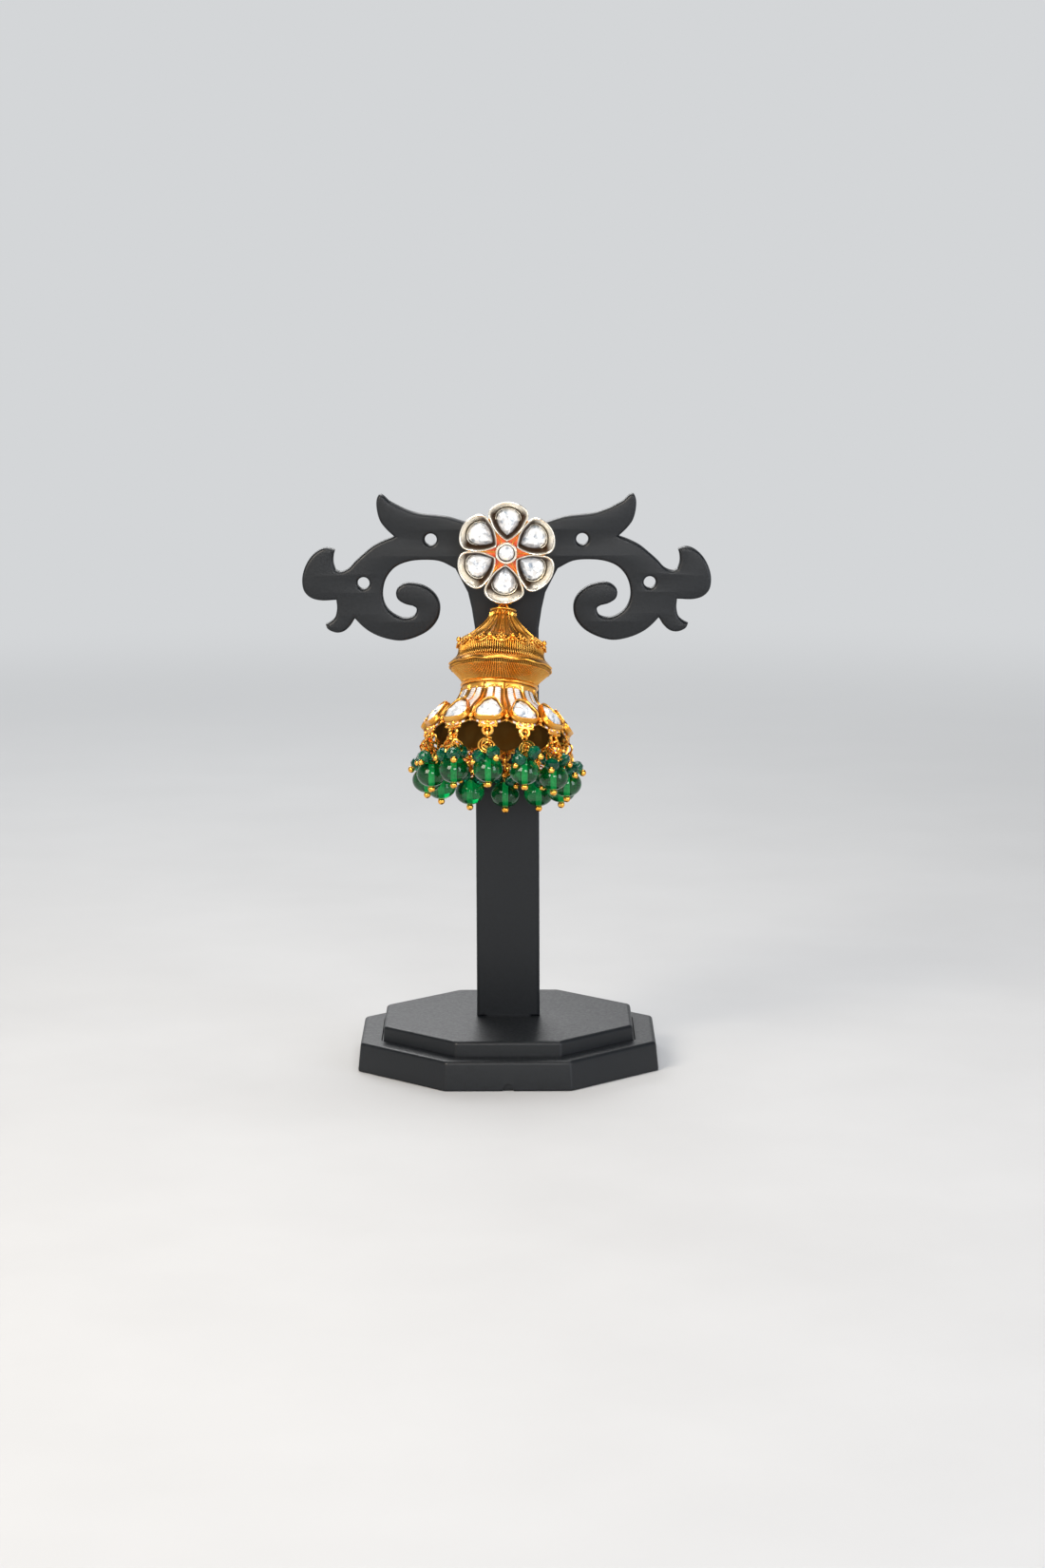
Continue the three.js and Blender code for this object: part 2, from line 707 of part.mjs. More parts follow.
function buildStud() {
  const stud = new THREE.Group();
  stud.position.copy(studRoot);
  stud.rotation.x = Math.PI / 2 + flowerNod;
  const face = new THREE.Group();
  face.rotation.z = -flowerRoll;
  stud.add(face);
  face.add(named('flower_setting', flowerGeometry(), paleGold()));
  face.add(named('centre_stone', roundStoneGeometry(), foiledGlass()));
  for (let i = 0; i < petalCount; i += 1) {
    const stone = named(`petal_stone_${i + 1}`, petalStoneGeometry(), foiledGlass());
    stone.rotation.z = -i * 2 * Math.PI / petalCount;
    face.add(stone);
  }
  const nut = named('post_nut', nutGeometry(), antiqueGold());
  nut.position.z = -nutSeat;
  face.add(nut);
  return stud;
}

function buildDrop(link) {
  const ring = named('link_ring', linkGeometry(), antiqueGold());
  ring.position.z = -linkDrop / 2;
  link.add(ring);
  const sway = new THREE.Group();
  sway.position.z = -linkDrop;
  sway.rotation.y = dropRoll;
  link.add(sway);
  const drop = new THREE.Group();
  drop.position.z = -collarDrop;
  sway.add(drop);
  drop.add(named('drop_body', dropBodyGeometry(), antiqueGold()));
  for (let i = 0; i < panelCount; i += 1) {
    const stone = named(`bell_stone_${i + 1}`, bellStoneGeometry(), foiledGlass());
    onDrop(stone.geometry, panelTurn(i), bezelRadius, bezelAt, bezelTilt);
    drop.add(stone);
  }
  return drop;
}

// Each cluster hangs plumb from its rim eye; the ones at the back lean forward off the upright.
function addClusters(assembly, drop) {
  assembly.updateMatrixWorld(true);
  const beadBelow = 2 * hangerRadius + stemLength + largeBeadHeight / 2;
  const beadLimit = plateFront - beadPostGap - largeBeadDiameter / 2;
  for (let i = 0; i < panelCount; i += 1) {
    const turn = panelTurn(i);
    const hang = new THREE.Vector3(0, -eyeRadius, -eyeAt - hangerDrop).applyAxisAngle(up, turn);
    drop.localToWorld(hang);
    const nearPost = Math.abs(hang.x) < (postWidth + largeBeadDiameter) / 2 && hang.y > beadLimit - postReach;
    const push = nearPost ? Math.max(0, hang.y - beadLimit) : 0;
    const beads = nearPost ? postBeads : openBeads;
    const cluster = named(`bead_cluster_${i + 1}`, clusterGeometry(beads), greenGlass());
    cluster.position.copy(hang);
    cluster.rotation.set(-Math.asin(push / beadBelow), 0, turn - Math.PI / 2);
    assembly.add(cluster);
  }
}

const jhumka = new THREE.Group();
jhumka.add(buildStand());
jhumka.add(buildStud());
const link = new THREE.Group();
link.position.copy(hinge);
link.rotation.x = -dropLean;
jhumka.add(link);
addClusters(jhumka, buildDrop(link));

export default jhumka;
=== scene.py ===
import json
import math
import random
from functools import partial

import bmesh
import bpy
import numpy as np
from mathutils import Matrix, Vector


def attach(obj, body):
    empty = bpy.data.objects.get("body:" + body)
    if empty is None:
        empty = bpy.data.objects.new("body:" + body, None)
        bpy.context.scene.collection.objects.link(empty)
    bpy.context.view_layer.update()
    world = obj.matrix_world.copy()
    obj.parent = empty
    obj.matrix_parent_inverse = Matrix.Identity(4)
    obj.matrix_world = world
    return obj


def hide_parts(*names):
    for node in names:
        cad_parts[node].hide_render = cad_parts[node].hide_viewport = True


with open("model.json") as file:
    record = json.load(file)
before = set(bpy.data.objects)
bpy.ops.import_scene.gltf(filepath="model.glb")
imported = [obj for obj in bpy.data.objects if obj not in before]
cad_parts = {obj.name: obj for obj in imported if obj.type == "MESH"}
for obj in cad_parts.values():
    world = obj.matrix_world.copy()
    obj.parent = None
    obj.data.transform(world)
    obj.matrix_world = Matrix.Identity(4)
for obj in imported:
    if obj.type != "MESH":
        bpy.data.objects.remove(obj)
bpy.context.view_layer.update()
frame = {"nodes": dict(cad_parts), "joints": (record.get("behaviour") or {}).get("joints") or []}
mm = 0.001
scene = bpy.context.scene
joints = {joint["name"]: joint for joint in frame["joints"]}
print("frame loaded:", len(frame["nodes"]), "nodes")


def rotation(angle, axis):
    return Matrix.Rotation(angle, 4, axis)


# The camera stands where the photo was taken: level with the stand's top, looking a little down.
view = {"place": (2.9, -751.2, 172.8), "tiltDown": 8.99, "roll": -0.2, "lens": 90.48, "sensor": 36}
cameraData = bpy.data.cameras.new("studioCamera")
cameraData.lens = view["lens"]
cameraData.sensor_width = view["sensor"]
cameraData.clip_start = 0.01
camera = bpy.data.objects.new("studioCamera", cameraData)
scene.collection.objects.link(camera)
camera.matrix_world = (
    Matrix.Translation(Vector(view["place"]) * mm)
    @ rotation(math.radians(90 - view["tiltDown"]), "X")
    @ rotation(math.radians(view["roll"]), "Z")
)
scene.camera = camera
scene.view_settings.view_transform = "Standard"
print("camera set")


# Turns an sRGB hex colour into the linear colour that shaders take.
def linear(hexColour):
    channels = [int(hexColour[i:i + 2], 16) / 255 for i in (1, 3, 5)]
    return tuple(c / 12.92 if c <= 0.04045 else ((c + 0.055) / 1.055) ** 2.4 for c in channels) + (1.0,)


def grey(value):
    return (value, value, value, 1)


def perMm(size):  # a texture's scale, for one feature in so many millimetres
    return 1000 / size


# Adds a node with its inputs, a ramp's stops and its settings. An input is a value, a hex colour,
# a socket to link, or a node whose first output is linked. A stop has a hex colour or a level of grey.
def addNode(tree, kind, inputs=None, stops=(), **settings):
    node = tree.nodes.new("ShaderNode" + kind)
    for key, value in settings.items():
        setattr(node, key, value)
    for key, value in (inputs or {}).items():
        if isinstance(value, bpy.types.Node):
            value = value.outputs[0]
        if isinstance(value, str):
            value = linear(value)
        if isinstance(value, bpy.types.NodeSocket):
            tree.links.new(value, node.inputs[key])
        else:
            node.inputs[key].default_value = value
    if stops:
        elements = node.color_ramp.elements
        while len(elements) < len(stops):
            elements.new(0.5)
        for element, (position, colour) in zip(elements, stops):
            element.position = position
            element.color = linear(colour) if isinstance(colour, str) else grey(colour)
    return node


# Starts a material: gives it, what adds a node to it, and the place on the piece.
def startMaterial(name):
    material = bpy.data.materials.new(name)
    material.use_nodes = True
    material.node_tree.nodes.clear()
    add = partial(addNode, material.node_tree)
    return material, add, add("TexCoord").outputs["Object"]


# Black high-impact polystyrene, injection moulded: satin black with a fine mottled skin,
# a little glossier where it has been handled.
def blackPolystyrene():
    material, add, place = startMaterial("blackPolystyrene")
    mottle = add("TexNoise", {"Vector": place, "Scale": perMm(0.55), "Detail": 5, "Roughness": 0.65})
    broad = add("TexNoise", {"Vector": place, "Scale": perMm(9), "Detail": 3})
    skinColour = add("ValToRGB", {"Fac": mottle}, [(0.38, "#0B0D10"), (0.68, "#15191E")])
    colour = add("Mix", {0: broad, 6: skinColour, 7: "#0F1317"}, data_type="RGBA").outputs[2]
    roughness = add("ValToRGB", {"Fac": mottle}, [(0.3, 0.34), (0.7, 0.5)])
    bump = add("Bump", {"Strength": 0.3, "Distance": 0.03 * mm, "Height": mottle})
    plastic = add("BsdfPrincipled", {
        "Base Color": colour, "Roughness": roughness, "Normal": bump, "Specular IOR Level": 0.4})
    add("OutputMaterial", {"Surface": plastic})
    return material


# Cast brass with warm gold plate, polished on the high places: deep orange gold that goes brown in its
# recesses, partly patina and partly painted shade, with painted shade from an occlusion node in its creases.
# Silvered places are rhodium plated.
def goldPlate(name, bright, mid, dark, roughnessRange, nookSize, metallic=1.0):
    material, add, place = startMaterial(name)
    recess = add("Attribute", attribute_name="recess").outputs["Fac"]
    silvered = add("Attribute", attribute_name="silvered").outputs["Fac"]
    # painted shade: an ambient occlusion node darkens creases and hollows, except on the silvered places
    nook = add("AmbientOcclusion", {"Distance": nookSize * mm}, samples=6, only_local=True).outputs["AO"]
    occlusionShade = add("MapRange", {
        "Value": nook, "From Min": 0.15, "From Max": 0.7, "To Min": 0.9, "To Max": 0.0})
    plain = add("Math", {0: 1.0, 1: silvered}, operation="SUBTRACT")
    paintedCreaseShade = add("Math", {0: occlusionShade, 1: plain}, operation="MULTIPLY")
    deep = add("Math", {0: recess, 1: paintedCreaseShade}, operation="MAXIMUM")
    cloud = add("TexNoise", {"Vector": place, "Scale": perMm(2.4), "Detail": 2})
    polished = add("ValToRGB", {"Fac": cloud}, [(0.3, mid), (0.7, bright)])
    plated = add("Mix", {0: silvered, 6: polished, 7: "#FFFFFF"}, data_type="RGBA").outputs[2]
    colour = add("Mix", {0: deep, 6: plated, 7: dark}, data_type="RGBA").outputs[2]
    low, high = roughnessRange
    rubbed = add("ValToRGB", {"Fac": deep}, [(0.0, low), (1.0, high)])
    roughness = add("Mix", {0: silvered, 6: rubbed, 7: grey(0.45)}, data_type="RGBA").outputs[2]
    shine = add("MapRange", {"Value": silvered, "To Min": metallic, "To Max": 0.5})
    scratch = add("TexNoise", {"Vector": place, "Scale": perMm(0.5), "Detail": 2})
    wear = add("Bump", {"Strength": 0.12, "Distance": 0.02 * mm, "Height": scratch})
    metal = add("BsdfPrincipled", {
        "Base Color": colour, "Metallic": shine, "Roughness": roughness, "Normal": wear})
    add("OutputMaterial", {"Surface": metal})
    return material


# Cut crystal with a silver foil behind it: clear hard gloss on the facets over
# a crinkled bright and grey foil.
def foiledCrystal():
    material, add, place = startMaterial("foiledCrystal")
    crinkle = add("TexNoise", {"Vector": place, "Scale": perMm(1.3), "Detail": 4, "Roughness": 0.6})
    foil = add("ValToRGB", {"Fac": crinkle}, [
        (0.34, "#A6B2C0"), (0.44, "#E8ECF0"), (0.54, "#FFFFFF")])
    # painted reflection: each facet gets a random lighter or darker shade, standing in for the light each
    # facet catches
    facet = add("Attribute", attribute_name="facet").outputs["Fac"]
    shade = add("ValToRGB", {"Fac": facet}, [(0.0, 0.55), (0.5, 1.0)])
    colour = add("Mix", {0: 0.8, 6: foil, 7: shade}, data_type="RGBA", blend_type="MULTIPLY").outputs[2]
    bump = add("Bump", {"Strength": 0.5, "Distance": 0.08 * mm, "Height": crinkle})
    glass = add("BsdfPrincipled", {
        "Base Color": colour, "Metallic": 0.2, "Roughness": 0.2, "Normal": bump,
        "Coat Weight": 1.0, "Coat Roughness": 0.02, "Coat IOR": 1.6})
    add("OutputMaterial", {"Surface": glass})
    return material


# Glass beads, lampworked or cut: clear, deep green where thick, with soft streaks inside.
def greenGlass(name, pale, deep, roughness, clarity):
    material, add, place = startMaterial(name)
    streak = add("TexNoise", {"Vector": place, "Scale": perMm(2.2), "Detail": 2})
    colour = add("ValToRGB", {"Fac": streak}, [(0.35, deep), (0.7, pale)])
    glass = add("BsdfPrincipled", {
        "Base Color": colour, "Roughness": roughness, "IOR": 1.5, "Transmission Weight": clarity,
        "Specular IOR Level": 0.4})
    add("OutputMaterial", {"Surface": glass})
    return material


# The drilled hole of a glass bead: ground walls with a painted glow, a bright pale green colour and a faint
# emission standing in for light that comes through the bead.
def groundGlass():
    material, add, place = startMaterial("groundGlassBore")
    grind = add("TexNoise", {"Vector": place, "Scale": perMm(0.4), "Detail": 2})
    colour = add("ValToRGB", {"Fac": grind}, [(0.3, "#4FD08C"), (0.7, "#B4F5CF")])
    wall = add("BsdfPrincipled", {
        "Base Color": colour, "Roughness": 0.6, "Emission Color": "#7CF0B4", "Emission Strength": 0.35})
    add("OutputMaterial", {"Surface": wall})
    return material


# Fired orange red enamel, glossy and a little uneven where it pooled.
def redEnamel():
    material, add, place = startMaterial("orangeRedEnamel")
    pool = add("TexNoise", {"Vector": place, "Scale": perMm(1.3), "Detail": 3})
    colour = add("ValToRGB", {"Fac": pool}, [(0.3, "#C43C08"), (0.7, "#F27418")])
    bump = add("Bump", {"Strength": 0.3, "Distance": 0.08 * mm, "Height": pool})
    glaze = add("BsdfPrincipled", {
        "Base Color": colour, "Roughness": 0.22, "Normal": bump, "Coat Weight": 0.7, "Coat Roughness": 0.05})
    add("OutputMaterial", {"Surface": glaze})
    return material


black = blackPolystyrene()
gold = goldPlate("castBrassGoldPlate", "#FFC262", "#F7A63C", "#331D09", (0.25, 0.5), 0.6)
wireGold = goldPlate("brassWireGoldPlate", "#FFC45C", "#FBAC42", "#6A340A", (0.18, 0.4), 0.4)
paleGold = goldPlate("paleGoldPlate", "#FFFBF0", "#FBF0DA", "#40280E", (0.2, 0.42), 0.4, metallic=0.82)
crystal = foiledCrystal()
emerald = greenGlass("emeraldLampGlass", "#049246", "#036B34", 0.02, 0.82)
teal = greenGlass("tealCutGlass", "#0C9A74", "#046B4E", 0.03, 0.74)
bore = groundGlass()
enamel = redEnamel()
print("materials made")


# A part is its points in millimetres, its faces, and three values for each point:
# how far it is darkened in a recess (patina and painted shade), how far it is silvered, and its facet's
# painted shade.
def joinParts(parts):
    faces = []
    start = 0
    for part in parts:
        faces.extend(tuple(i + start for i in face) for face in part["faces"])
        start += len(part["points"])
    points, values = [np.concatenate([part[key] for part in parts]) for key in ("points", "values")]
    return {"points": points, "faces": faces, "values": values}


def movedPart(part, matrix):
    m = np.array(matrix)
    return {**part, "points": part["points"] @ m[:3, :3].T + m[:3, 3]}


# A skin over rows of points, closed across. It wraps along too, or its ends are filled from their centres.
def skin(grid, wrapAlong=False, recess=0.0, silvered=0.0):
    grid = np.asarray(grid, float)
    rows, columns = grid.shape[:2]
    index = np.arange(rows * columns).reshape(rows, columns)
    nextRow = np.roll(index, -1, 0) if wrapAlong else index[1:]
    thisRow = index if wrapAlong else index[:-1]
    quads = np.stack([thisRow, np.roll(thisRow, -1, 1), np.roll(nextRow, -1, 1), nextRow], -1)
    faces = [tuple(quad) for quad in quads.reshape(-1, 4).tolist()]
    points = grid.reshape(-1, 3)
    plainFacet = 0.8
    values = [np.broadcast_to(np.asarray(value, float), (rows, columns)).reshape(-1)
              for value in (recess, silvered, plainFacet)]
    if not wrapAlong:
        for row, step in ((0, -1), (rows - 1, 1)):
            centre = len(points)
            points = np.concatenate([points, grid[row].mean(0)[None]])
            values = [np.append(value, value[index[row]].mean()) for value in values]
            for pair in zip(index[row].tolist(), np.roll(index[row], -1).tolist()):
                faces.append((*pair[::step], centre))
    return {"points": points, "faces": faces, "values": np.stack(values, 1)}


def circle(count, start=0.0):
    return start + np.arange(count) * 2 * math.pi / count


def flatRing(radius, z, count, start=0.0):
    angles = circle(count, start)
    return np.stack([radius * np.cos(angles), radius * np.sin(angles), np.full(count, z)], 1)


# A wire of one thickness along a path.
def wireAlong(path, radius, sides=8, closed=False):
    path = np.asarray(path, float)
    if closed:
        tangents = np.roll(path, -1, 0) - np.roll(path, 1, 0)
    else:
        tangents = np.gradient(path, axis=0)
    tangents /= np.linalg.norm(tangents, axis=1)[:, None]
    normal = np.cross(tangents[0], (0.31, 0.52, 0.79))  # any direction that no wire starts in
    normal /= np.linalg.norm(normal)
    normals = []
    for tangent in tangents:
        normal = normal - tangent * normal.dot(tangent)
        normal /= np.linalg.norm(normal)
        normals.append(normal)
    normals = np.array(normals)
    sideways = np.cross(tangents, normals)
    twist = 0.0
    if closed:  # spreads the leftover twist, so that the last ring meets the first
        back = normals[0] - tangents[-1] * normals[0].dot(tangents[-1])
        twist = math.atan2(back.dot(sideways[-1]), back.dot(normals[-1]))
    angles = circle(sides)[None, :] + np.linspace(0, twist, len(path))[:, None]
    rings = path[:, None] + radius * (
        np.cos(angles)[..., None] * normals[:, None] + np.sin(angles)[..., None] * sideways[:, None])
    return skin(rings, wrapAlong=closed)


def ringOfWire(radius, wire, centre=(0, 0, 0), across="Z", steps=32, sides=10):
    order = {"Z": (0, 1, 2), "Y": (0, 2, 1), "X": (2, 0, 1)}[across]
    path = flatRing(radius, 0, steps)[:, order] + np.asarray(centre, float)
    return wireAlong(path, wire / 2, sides, closed=True)


def ball(radius, centre=(0, 0, 0), squash=1.0, around=16, rows=9):
    heights = np.linspace(0, math.pi, rows + 2)[1:-1]
    part = skin([flatRing(radius * math.sin(a), radius * squash * math.cos(a), around) for a in heights])
    part["points"][-2:] = (0, 0, radius * squash), (0, 0, -radius * squash)
    part["points"] += np.asarray(centre, float)
    return part


# Joins the points of a mesh that lie closer than the gap, and turns its faces outwards.
def cleanMesh(mesh, gap=0.0):
    work = bmesh.new()
    work.from_mesh(mesh)
    if gap:
        bmesh.ops.remove_doubles(work, verts=work.verts, dist=gap * mm)
    bmesh.ops.recalc_face_normals(work, faces=work.faces)
    work.to_mesh(mesh)
    work.free()


# Makes the Blender object of a piece, hangs it on its body and hides the frame's part that it stands for.
# The crease is the angle from which an edge is sharp. Without one, every facet is flat.
def placePiece(name, mesh, body, node, crease):
    if crease:
        mesh.polygons.foreach_set("use_smooth", [True] * len(mesh.polygons))
        mesh.set_sharp_from_angle(angle=math.radians(crease))
    piece = bpy.data.objects.new(name, mesh)
    scene.collection.objects.link(piece)
    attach(piece, body)
    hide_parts(node)


# A core is the first of the faces that take a second material, and that material.
def addPiece(name, part, material, body, node, crease=40, gap=0.0, core=None):
    mesh = bpy.data.meshes.new(name)
    mesh.from_pydata((part["points"] * mm).tolist(), [], part["faces"])
    for column, label in enumerate(("recess", "silvered", "facet")):
        attribute = mesh.attributes.new(label, "FLOAT", "POINT")
        attribute.data.foreach_set("value", part["values"][:, column].astype(np.float32))
    cleanMesh(mesh, gap)
    mesh.materials.append(material)
    if core:
        mesh.materials.append(core[1])
        for polygon in mesh.polygons[core[0]:]:
            polygon.material_index = 1
    placePiece(name, mesh, body, node, crease)


# A smooth curve through points, in equal steps from each to the next.
def smoothThrough(rows, steps):
    points = np.asarray(rows, float)
    points = np.concatenate([[2 * points[0] - points[1]], points, [2 * points[-1] - points[-2]]])
    shares = np.arange(steps)[:, None] / steps
    runs = []
    for p0, p1, p2, p3 in zip(points, points[1:], points[2:], points[3:]):
        d0, d1, d2 = [math.sqrt(math.dist(a, b)) for a, b in ((p0, p1), (p1, p2), (p2, p3))]
        start = d1 * ((p1 - p0) / d0 - (p2 - p0) / (d0 + d1) + (p2 - p1) / d1)
        end = d1 * ((p2 - p1) / d1 - (p3 - p1) / (d1 + d2) + (p3 - p2) / d2)
        runs.append(p1 + shares * start + shares ** 2 * (3 * (p2 - p1) - 2 * start - end)
                    + shares ** 3 * (2 * (p1 - p2) + start + end))
    return np.concatenate([*runs, points[-2:-1]])


# Stand base: an octagonal moulding in two tiers, with a fine groove where they meet.
# The moulding gate's mark is a shallow half oval in the foot of the front edge.
base = {
    "lowerWidth": 57.7, "lowerHeight": 5.7, "upperWidth": 48.0, "upperHeight": 2.8, "taper": 0.9,
    "cornerRadius": 1.1, "cornerSteps": 6, "edge": 0.7, "foot": 0.45, "groove": 0.35,
    "gateWidth": 2.2, "gateHeight": 1.5, "gateDepth": 0.45, "gateCorner": 5,
}
shoulder = base["lowerHeight"] + base["upperHeight"]
gateTurns = np.linspace(-math.pi / 2, math.pi / 2, 17)
gateAcross = base["gateWidth"] / 2 * np.sin(gateTurns)
gateTop = base["gateHeight"] * np.cos(gateTurns)


def octagonRing(acrossFlats, z):
    radius = min(base["cornerRadius"], acrossFlats / 4)
    reach = (acrossFlats / 2 - radius) / math.cos(math.pi / 8)
    ring = []
    for i in range(8):
        middle = (i + 0.5) * math.pi / 4
        centre = np.array([reach * math.cos(middle), reach * math.sin(middle)])
        for angle in np.linspace(middle - math.pi / 8, middle + math.pi / 8, base["cornerSteps"]):
            ring.append((*(centre + radius * np.array([math.cos(angle), math.sin(angle)])), z))
        if i == base["gateCorner"]:
            ring.extend((x, -acrossFlats / 2, z) for x in gateAcross)
    return ring


def roundedEdge(width, top):
    edge = base["edge"]
    return [(width - 2 * edge * (1 - math.cos(t)), top - edge * (1 - math.sin(t)))
            for t in np.linspace(0, math.pi / 2, 5)]


def buildBase():
    lower, edge, foot, groove = [base[key] for key in ("lowerHeight", "edge", "foot", "groove")]
    bottomWidth, upperWidth = base["lowerWidth"], base["upperWidth"]
    topWidth = bottomWidth - base["taper"]
    # widths and heights: a rounded foot, then two rows for the top of the gate's mark, then the tiers
    rows = [(bottomWidth - 0.8, 0.0), (bottomWidth - 0.1, 0.15), (bottomWidth, foot),
            (bottomWidth, foot + 0.01), (bottomWidth, foot + 0.02)]
    rows += roundedEdge(topWidth, lower)
    rows += [(topWidth - 2 * edge - 0.2, lower), (upperWidth + 2.6 * groove + 0.2, lower),
             (upperWidth + 2.6 * groove, lower), (upperWidth + 1.6 * groove, lower - groove),
             (upperWidth + 0.4 * groove, lower - groove), (upperWidth, lower + 0.05)]
    rows += roundedEdge(upperWidth, shoulder)
    rows += [(upperWidth - 2 * edge - 0.2, shoulder), (upperWidth - 2 * edge - 0.6, shoulder)]
    grid = np.array([octagonRing(width, z) for width, z in rows])
    marked = np.flatnonzero(gateTop > foot + 0.02)
    columns = marked + (base["gateCorner"] + 1) * base["cornerSteps"]
    lean = base["taper"] / 2 / (lower - edge - foot)
    for row, above in ((3, 0.0), (4, 0.01)):
        grid[row, columns, 2] = gateTop[marked] + above
        grid[row, columns, 1] += lean * (gateTop[marked] - foot)
    grid[:4, columns, 1] += base["gateDepth"]
    addPiece("octagon_base", skin(grid), black, "root", "stand_base", crease=28)


buildBase()
print("base built")

# Crossbar and upright: one flat moulding. Rows are shares of the arm's reach outwards
# and of its drop below the horn tips, from the middle of the top edge round to the upright.
tree = {
    "height": 110.0, "reach": 39.1, "drop": 28.0, "thickness": 3.2, "edge": 0.6, "postWidth": 12.2,
    "tenonWidth": 9.0, "tenonDepth": 4.0, "armHole": 2.3, "pinHole": 2.3, "pinHoleBelowTop": 9.2,
    "runs": [
        [(0, 0.213), (0.1, 0.208), (0.19, 0.193), (0.29, 0.152), (0.43, 0.128), (0.5, 0.096), (0.573, 0.043)],
        [(0.573, 0.043), (0.605, 0.002), (0.62, 0), (0.632, 0.032), (0.632, 0.1), (0.616, 0.18),
         (0.585, 0.237), (0.547, 0.286)],
        [(0.547, 0.286), (0.6, 0.314), (0.65, 0.35), (0.695, 0.4), (0.74, 0.457), (0.772, 0.504),
         (0.81, 0.525), (0.836, 0.514)],
        [(0.836, 0.514), (0.846, 0.468), (0.846, 0.42), (0.838, 0.375)],
        [(0.838, 0.375), (0.877, 0.361), (0.913, 0.375), (0.954, 0.421), (0.985, 0.49), (1, 0.575),
         (0.992, 0.654), (0.962, 0.7), (0.913, 0.721), (0.834, 0.718)],
        [(0.834, 0.718), (0.831, 0.779), (0.843, 0.843), (0.87, 0.875), (0.888, 0.886)],
        [(0.888, 0.886), (0.877, 0.918), (0.837, 0.943), (0.8, 0.935), (0.767, 0.896), (0.744, 0.846)],
        [(0.744, 0.846), (0.71, 0.896), (0.67, 0.939), (0.606, 0.979), (0.517, 1), (0.432, 0.968),
         (0.37, 0.914), (0.332, 0.836), (0.327, 0.75), (0.35, 0.682), (0.4, 0.628), (0.468, 0.604),
         (0.509, 0.614), (0.54, 0.657), (0.535, 0.711), (0.5, 0.746), (0.46, 0.761)],
        [(0.46, 0.761), (0.442, 0.779), (0.453, 0.829), (0.5, 0.846), (0.55, 0.821), (0.586, 0.775),
         (0.604, 0.711), (0.604, 0.643), (0.586, 0.564), (0.545, 0.496), (0.48, 0.457), (0.391, 0.446),
         (0.322, 0.457), (0.25, 0.507)],
    ],
    "flare": [(0.107, 0.67), (0.049, 0.78), (0, 0.92)],
    "armHoles": [(0.37, 0.307), (0.7, 0.604)],
    "runSteps": 5,
}


def treeOutline():
    half = []
    for run in tree["runs"]:
        rows = np.array(run) * (tree["reach"], -tree["drop"]) + (0, tree["height"])
        half.extend(smoothThrough(rows, tree["runSteps"])[:-1])
    last = tree["runs"][-1][-1]
    half.append(np.array([last[0] * tree["reach"], tree["height"] - last[1] * tree["drop"]]))
    for add, down in tree["flare"]:
        half.append(np.array([(0.5 + add) * tree["postWidth"], tree["height"] - down * tree["drop"]]))
    half.append(np.array([tree["postWidth"] / 2, shoulder]))
    half.append(np.array([tree["tenonWidth"] / 2, shoulder]))
    half.append(np.array([tree["tenonWidth"] / 2, shoulder - tree["tenonDepth"]]))
    return half + [point * (-1, 1) for point in half[:0:-1]]


def buildTree():
    curve = bpy.data.curves.new("treeOutline", "CURVE")
    curve.dimensions = "2D"
    curve.fill_mode = "BOTH"
    curve.extrude = (tree["thickness"] / 2 - tree["edge"]) * mm
    curve.bevel_depth = tree["edge"] * mm
    curve.bevel_resolution = 3
    curve.offset = -tree["edge"] * mm
    outlines = [treeOutline()]
    holes = [(side * out * tree["reach"], tree["height"] - down * tree["drop"], tree["armHole"])
             for out, down in tree["armHoles"] for side in (-1, 1)]
    holes.append((0, tree["height"] - tree["pinHoleBelowTop"], tree["pinHole"]))
    for x, z, width in holes:
        outlines.append((flatRing(width / 2, 0, 28) + (x, z, 0))[::-1, :2])
    for outline in outlines:
        spline = curve.splines.new("POLY")
        spline.points.add(len(outline) - 1)
        spline.points.foreach_set("co", [v for x, z in outline for v in (x * mm, z * mm, 0, 1)])
        spline.use_cyclic_u = True
    flat = bpy.data.objects.new("treeOutline", curve)
    mesh = bpy.data.meshes.new_from_object(flat)
    bpy.data.objects.remove(flat)
    bpy.data.curves.remove(curve)
    mesh.transform(rotation(math.pi / 2, "X"))
    mesh.name = "scroll_tree"
    cleanMesh(mesh, gap=0.004)
    mesh.materials.clear()
    mesh.materials.append(black)
    placePiece("scroll_tree", mesh, "root", "display_tree", crease=35)


buildTree()
print("scroll tree built")

# Stud: six cup petals round a collet on a plain back plate, turned to face a little down.
stud = {
    "petals": 6, "petalLength": 7.5, "petalWidth": 7.0, "rootGap": 0.15, "cupDepth": 3.0, "lip": 0.32,
    "cupFullness": 0.62, "cupGap": 0.05, "plateThickness": 0.8, "plateRadius": 6.4, "colletDiameter": 4.2,
    "colletHeight": 4.2, "centreStone": 3.0, "stoneLength": 5.0, "stoneWidth": 4.1, "stoneInset": 0.75,
    "stoneFullness": 0.8, "seatLip": 0.85, "cupFloor": 0.5, "stoneGap": 0.15, "nod": 5.0, "roll": 3.5,
    "loopRadius": 1.3, "loopWire": 0.5, "loopTuck": 0.6, "shell": 0.55, "shellSpread": 1.1,
    "pinDiameter": 0.9, "pinTail": 0.8, "nutDiameter": 5.0, "nutThickness": 2.2, "nutGap": 0.3,
    "knurls": 24, "knurlDepth": 0.02, "enamelHeight": 2.35, "enamelWire": 0.26, "tipGap": 0.06,
    "enamelShare": 0.94, "enamelDepth": 1.4, "enamelDome": 0.12,
}
petalRoot = stud["colletDiameter"] / 2 + stud["rootGap"]
loopReach = petalRoot + stud["petalLength"] - stud["loopTuck"]
